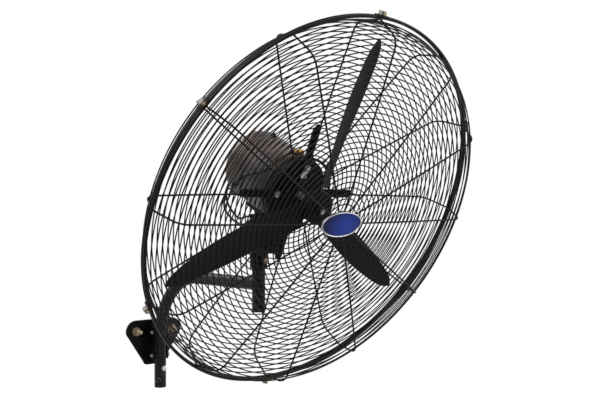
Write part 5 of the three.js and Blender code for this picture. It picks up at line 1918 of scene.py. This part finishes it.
# ---------------------------------------------------------------- leads
@dataclass
class Leads:
    """The lead along the drum, its gland and clip, and the two loops down to the neck.

    still and swung are places, over the neck and over the drum's rear. gland_barrel is radius and distance
    along the barrel.
    """

    shop: Workshop
    diameter: float = 5.0
    sides: int = 16
    each: int = 12
    lead_radius: float = 83.3
    still: tuple[float, float, float] = (-37.0, 178.0, -112.0)
    swung: tuple[float, float, float] = (-37.0, 256.0, -112.0)
    gland: tuple[float, float, float] = (-8.0, 104.0, 86.0)
    gland_barrel: tuple[tuple[float, float], ...] = (
        (4.2, 14), (5.2, 13.4), (5.2, 10.5), (4.4, 10), (4.4, 8.8), (5.6, 8.4), (5.6, 3.2), (4.9, 2.8),
        (4.9, 1.6), (5.6, 1.2), (5.6, -4.6), (4.6, -5.2), (4.6, -13.6), (4.0, -14))
    gland_grip: float = -5.4

    def on_drum(self, degrees: float, back: float, lift: float = 0.0) -> Array:
        """A place on the drum's side that the lead lies on.

        Args:
            degrees: from +x towards +z.
            back: behind the rim.
            lift: further out than the lead lies.

        Returns:
            x, y and z.
        """
        return around(self.lead_radius + lift, back, math.radians(degrees))

    def routes(self) -> dict[str, Array]:
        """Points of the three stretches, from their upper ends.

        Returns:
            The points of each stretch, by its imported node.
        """
        end, way = self.on_drum(238, 253, -1), unit([0.15, 0.8, -0.4])
        lead = [[-22.3, 104, 86], [-26, 104, 85.8], self.on_drum(113, 108, 1), self.on_drum(120, 111.5),
                self.on_drum(133, 110.5), self.on_drum(145, 113), self.on_drum(156, 122),
                self.on_drum(167, 144), self.on_drum(180.6, 171.5), self.on_drum(200, 195.5),
                self.on_drum(226, 227), end - 4 * way, end]
        outer = [end + 0.35 * way, end + 5 * way, [-41, 262, -84], [-40, 262, -98], [-40, 259, -112],
                 [-40, 250, -122], [-40, 227, -128.5], [-40, 195, -129], [-40, 174, -122],
                 [-37, 161, -106], [-30.7, 159.2, -101.5], [-25.7, 159.2, -101.3]]
        inner = [[-26.3, 267.3, -62], [-30, 267.3, -62.4], [-33, 270, -72], [-33, 271, -84],
                 [-33, 266, -98], [-33.5, 253, -109], [-34, 229.6, -117.5], [-34, 200, -120],
                 [-35.5, 179, -106], [-30.7, 173.2, -101.5], [-25.7, 173.2, -101.3]]
        stretches = {"motor_lead": lead, "lead_loop_outer": outer, "lead_loop_inner": inner}
        return {name: np.array(route, float) for name, route in stretches.items()}

    def build(self) -> None:
        """Builds the three stretches, the clip and the gland."""
        routes = self.routes()
        self.shop.piece("motor_lead_cable", self.cable(through(routes["motor_lead"], self.each)), HEAD,
                        "rubber", "lead_rubber", Body.HEAD, "motor_lead")
        for name in ("lead_loop_outer", "lead_loop_inner"):
            self.loop(name, routes[name])
        self.shop.eased("lead_clip", "rubber", "lead_rubber", Body.HEAD, 0.4)
        self.brass_gland()

    def cable(self, path: Array) -> Skin:
        """The round lead along a path."""
        return Skin().add(tube(path, self.diameter / 2, self.sides))

    def loop(self, name: str, route: Array) -> None:
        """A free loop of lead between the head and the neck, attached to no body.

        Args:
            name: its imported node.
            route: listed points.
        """
        path = through(route, self.each)
        obj = placed(f"{name}_cable", self.cable(path).mesh(f"{name}_cable", HEAD, 40))
        line = HEAD.metres(path)
        HEAD.metres(np.array(self.still))
        HEAD.metres(np.array(self.swung))
        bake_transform(obj)
        self.shop.dress(obj, "rubber", "lead_rubber", None, (name,))
        self.diameter * MM

    def brass_gland(self) -> None:
        """The gland: a grooved barrel along x with a coarse hexagon near its closed end."""
        x, y, z = self.gland
        skin = Skin().add(revolved(np.array(self.gland_barrel, float), 40))
        skin.join(GLAND_GRIP.hexagon(self.gland_grip, self.gland_grip - GLAND_GRIP.head))
        self.shop.piece("lead_gland_brass", skin, HEAD.moved(x, y, z).facing(1), "brass", "brass",
                        Body.HEAD, "lead_gland")


# ---------------------------------------------------------------- studio
@dataclass
class Studio:
    """Camera at the photograph's viewpoint, plain lights, pale floor and white surround.

    Places are in metres. A lamp has its name, its place, the side of its square and its power in watts.
    """

    eye: tuple[float, float, float] = (-1.4139, -2.1781, 0.3387)
    look: tuple[float, float, float] = (0.662, 0.749, 0.0)
    lens: float = 59.04
    sensor: float = 36.0
    far: float = 50.0
    floor_centre: tuple[float, float, float] = (0.0, -0.4, -1.3)
    floor_radius: float = 2.2
    shade_level: float = 0.4
    lamps: tuple[tuple[str, tuple[float, float, float], float, float], ...] = (
        ("key", (-2.2, -3.0, 2.6), 2.0, 95.0),
        ("fill", (2.4, -2.6, 1.0), 2.4, 30.0),
        ("back", (-0.8, 1.6, 2.4), 1.6, 45.0))

    @staticmethod
    def aimed(obj: bpy.types.Object, at: tuple[float, float, float], way: Vector) -> None:
        """Puts a camera or lamp somewhere and points it.

        Args:
            obj: the camera or lamp.
            at: its place.
            way: the direction that it looks in, kept upright.
        """
        obj.location = at
        obj.rotation_mode = "QUATERNION"
        obj.rotation_quaternion = way.to_track_quat("-Z", "Y")

    def camera(self) -> None:
        """A level camera with the lens that was fitted to the photograph."""
        data = bpy.data.cameras.new("photo_view")
        data.lens = self.lens
        data.sensor_width = self.sensor
        data.clip_end = self.far
        camera = placed("photo_view", data)
        self.aimed(camera, self.eye, Vector(self.look))
        bpy.context.scene.camera = camera

    def lamp(self, name: str, at: tuple[float, float, float], size: float, power: float) -> None:
        """A square soft lamp aimed at the guard.

        Args:
            name: the lamp's name.
            at: where it stands.
            size: side of the square.
            power: in watts.
        """
        data = bpy.data.lights.new(name, "AREA")
        data.size = size
        data.energy = power
        self.aimed(placed(name, data), at, Vector(HEAD.origin) - Vector(at))

    def world(self) -> None:
        """White where it is seen or mirrored, and a plain level of light elsewhere."""
        graph = Graph(bpy.data.worlds.new("surround"))
        bpy.context.scene.world = graph.owner
        path = graph.node("ShaderNodeLightPath")
        camera, gloss, glass = (Value(graph, path.outputs[f"Is {kind} Ray"])
                                for kind in ("Camera", "Glossy", "Transmission"))
        seen = graph.add("ShaderNodeMath", {"operation": "MAXIMUM"}, {0: camera, 1: gloss})
        seen = graph.add("ShaderNodeMath", {"operation": "MAXIMUM"}, {0: seen, 1: glass})
        level = graph.add("ShaderNodeMapRange", None, {"Value": seen, "To Min": self.shade_level})
        white = graph.add("ShaderNodeBackground", None, {"Color": colour("ffffff"), "Strength": level})
        graph.node("ShaderNodeOutputWorld", None, {"Surface": white})

    def floor(self) -> None:
        """A plain pale round floor far enough below the fan to stay out of the photograph's view."""
        mesh = bpy.data.meshes.new("floor")
        a = turns(64)
        rim = np.stack([self.floor_radius * np.cos(a), self.floor_radius * np.sin(a), 0 * a], -1)
        mesh.from_pydata((rim + self.floor_centre).tolist(), [], [list(range(len(a)))])
        graph = new_finish("pale_floor")
        tone = graph.mix(graph.noise(graph.place(), 3, 4), colour("f4f3f1"), colour("ecebe8"))
        mesh.materials.append(graph.surface(Base_Color=tone, Roughness=0.7, Specular_IOR_Level=0.2))
        placed("floor", mesh)

    def build(self) -> None:
        """Sets up the surround, the floor and the lamps."""
        self.world()
        self.floor()
        for lamp in self.lamps:
            self.lamp(*lamp)
        bpy.context.scene.view_settings.view_transform = "Standard"


# ---------------------------------------------------------------- the fan
def main() -> None:
    """Builds the fan in order."""
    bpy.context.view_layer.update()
    studio = Studio()
    studio.camera()
    finishes = Finishes(BACK, HEAD.origin, HEAD.metres(np.array([12.0, -76.0, -6.0])))
    shop = Workshop(finishes)
    fasteners = Fasteners(shop)
    Leads(shop).build()
    Guard(shop).build()
    Rotor(shop).build()
    Motor(shop, fasteners).build()
    Drive(shop).build()
    Hinge(shop, fasteners).build()
    TubeArm(shop, fasteners).build()
    WallMount(shop, fasteners).build()
    studio.build()
    LOG.info("%d pieces", shop.made)


if __name__ == "__main__":
    main()
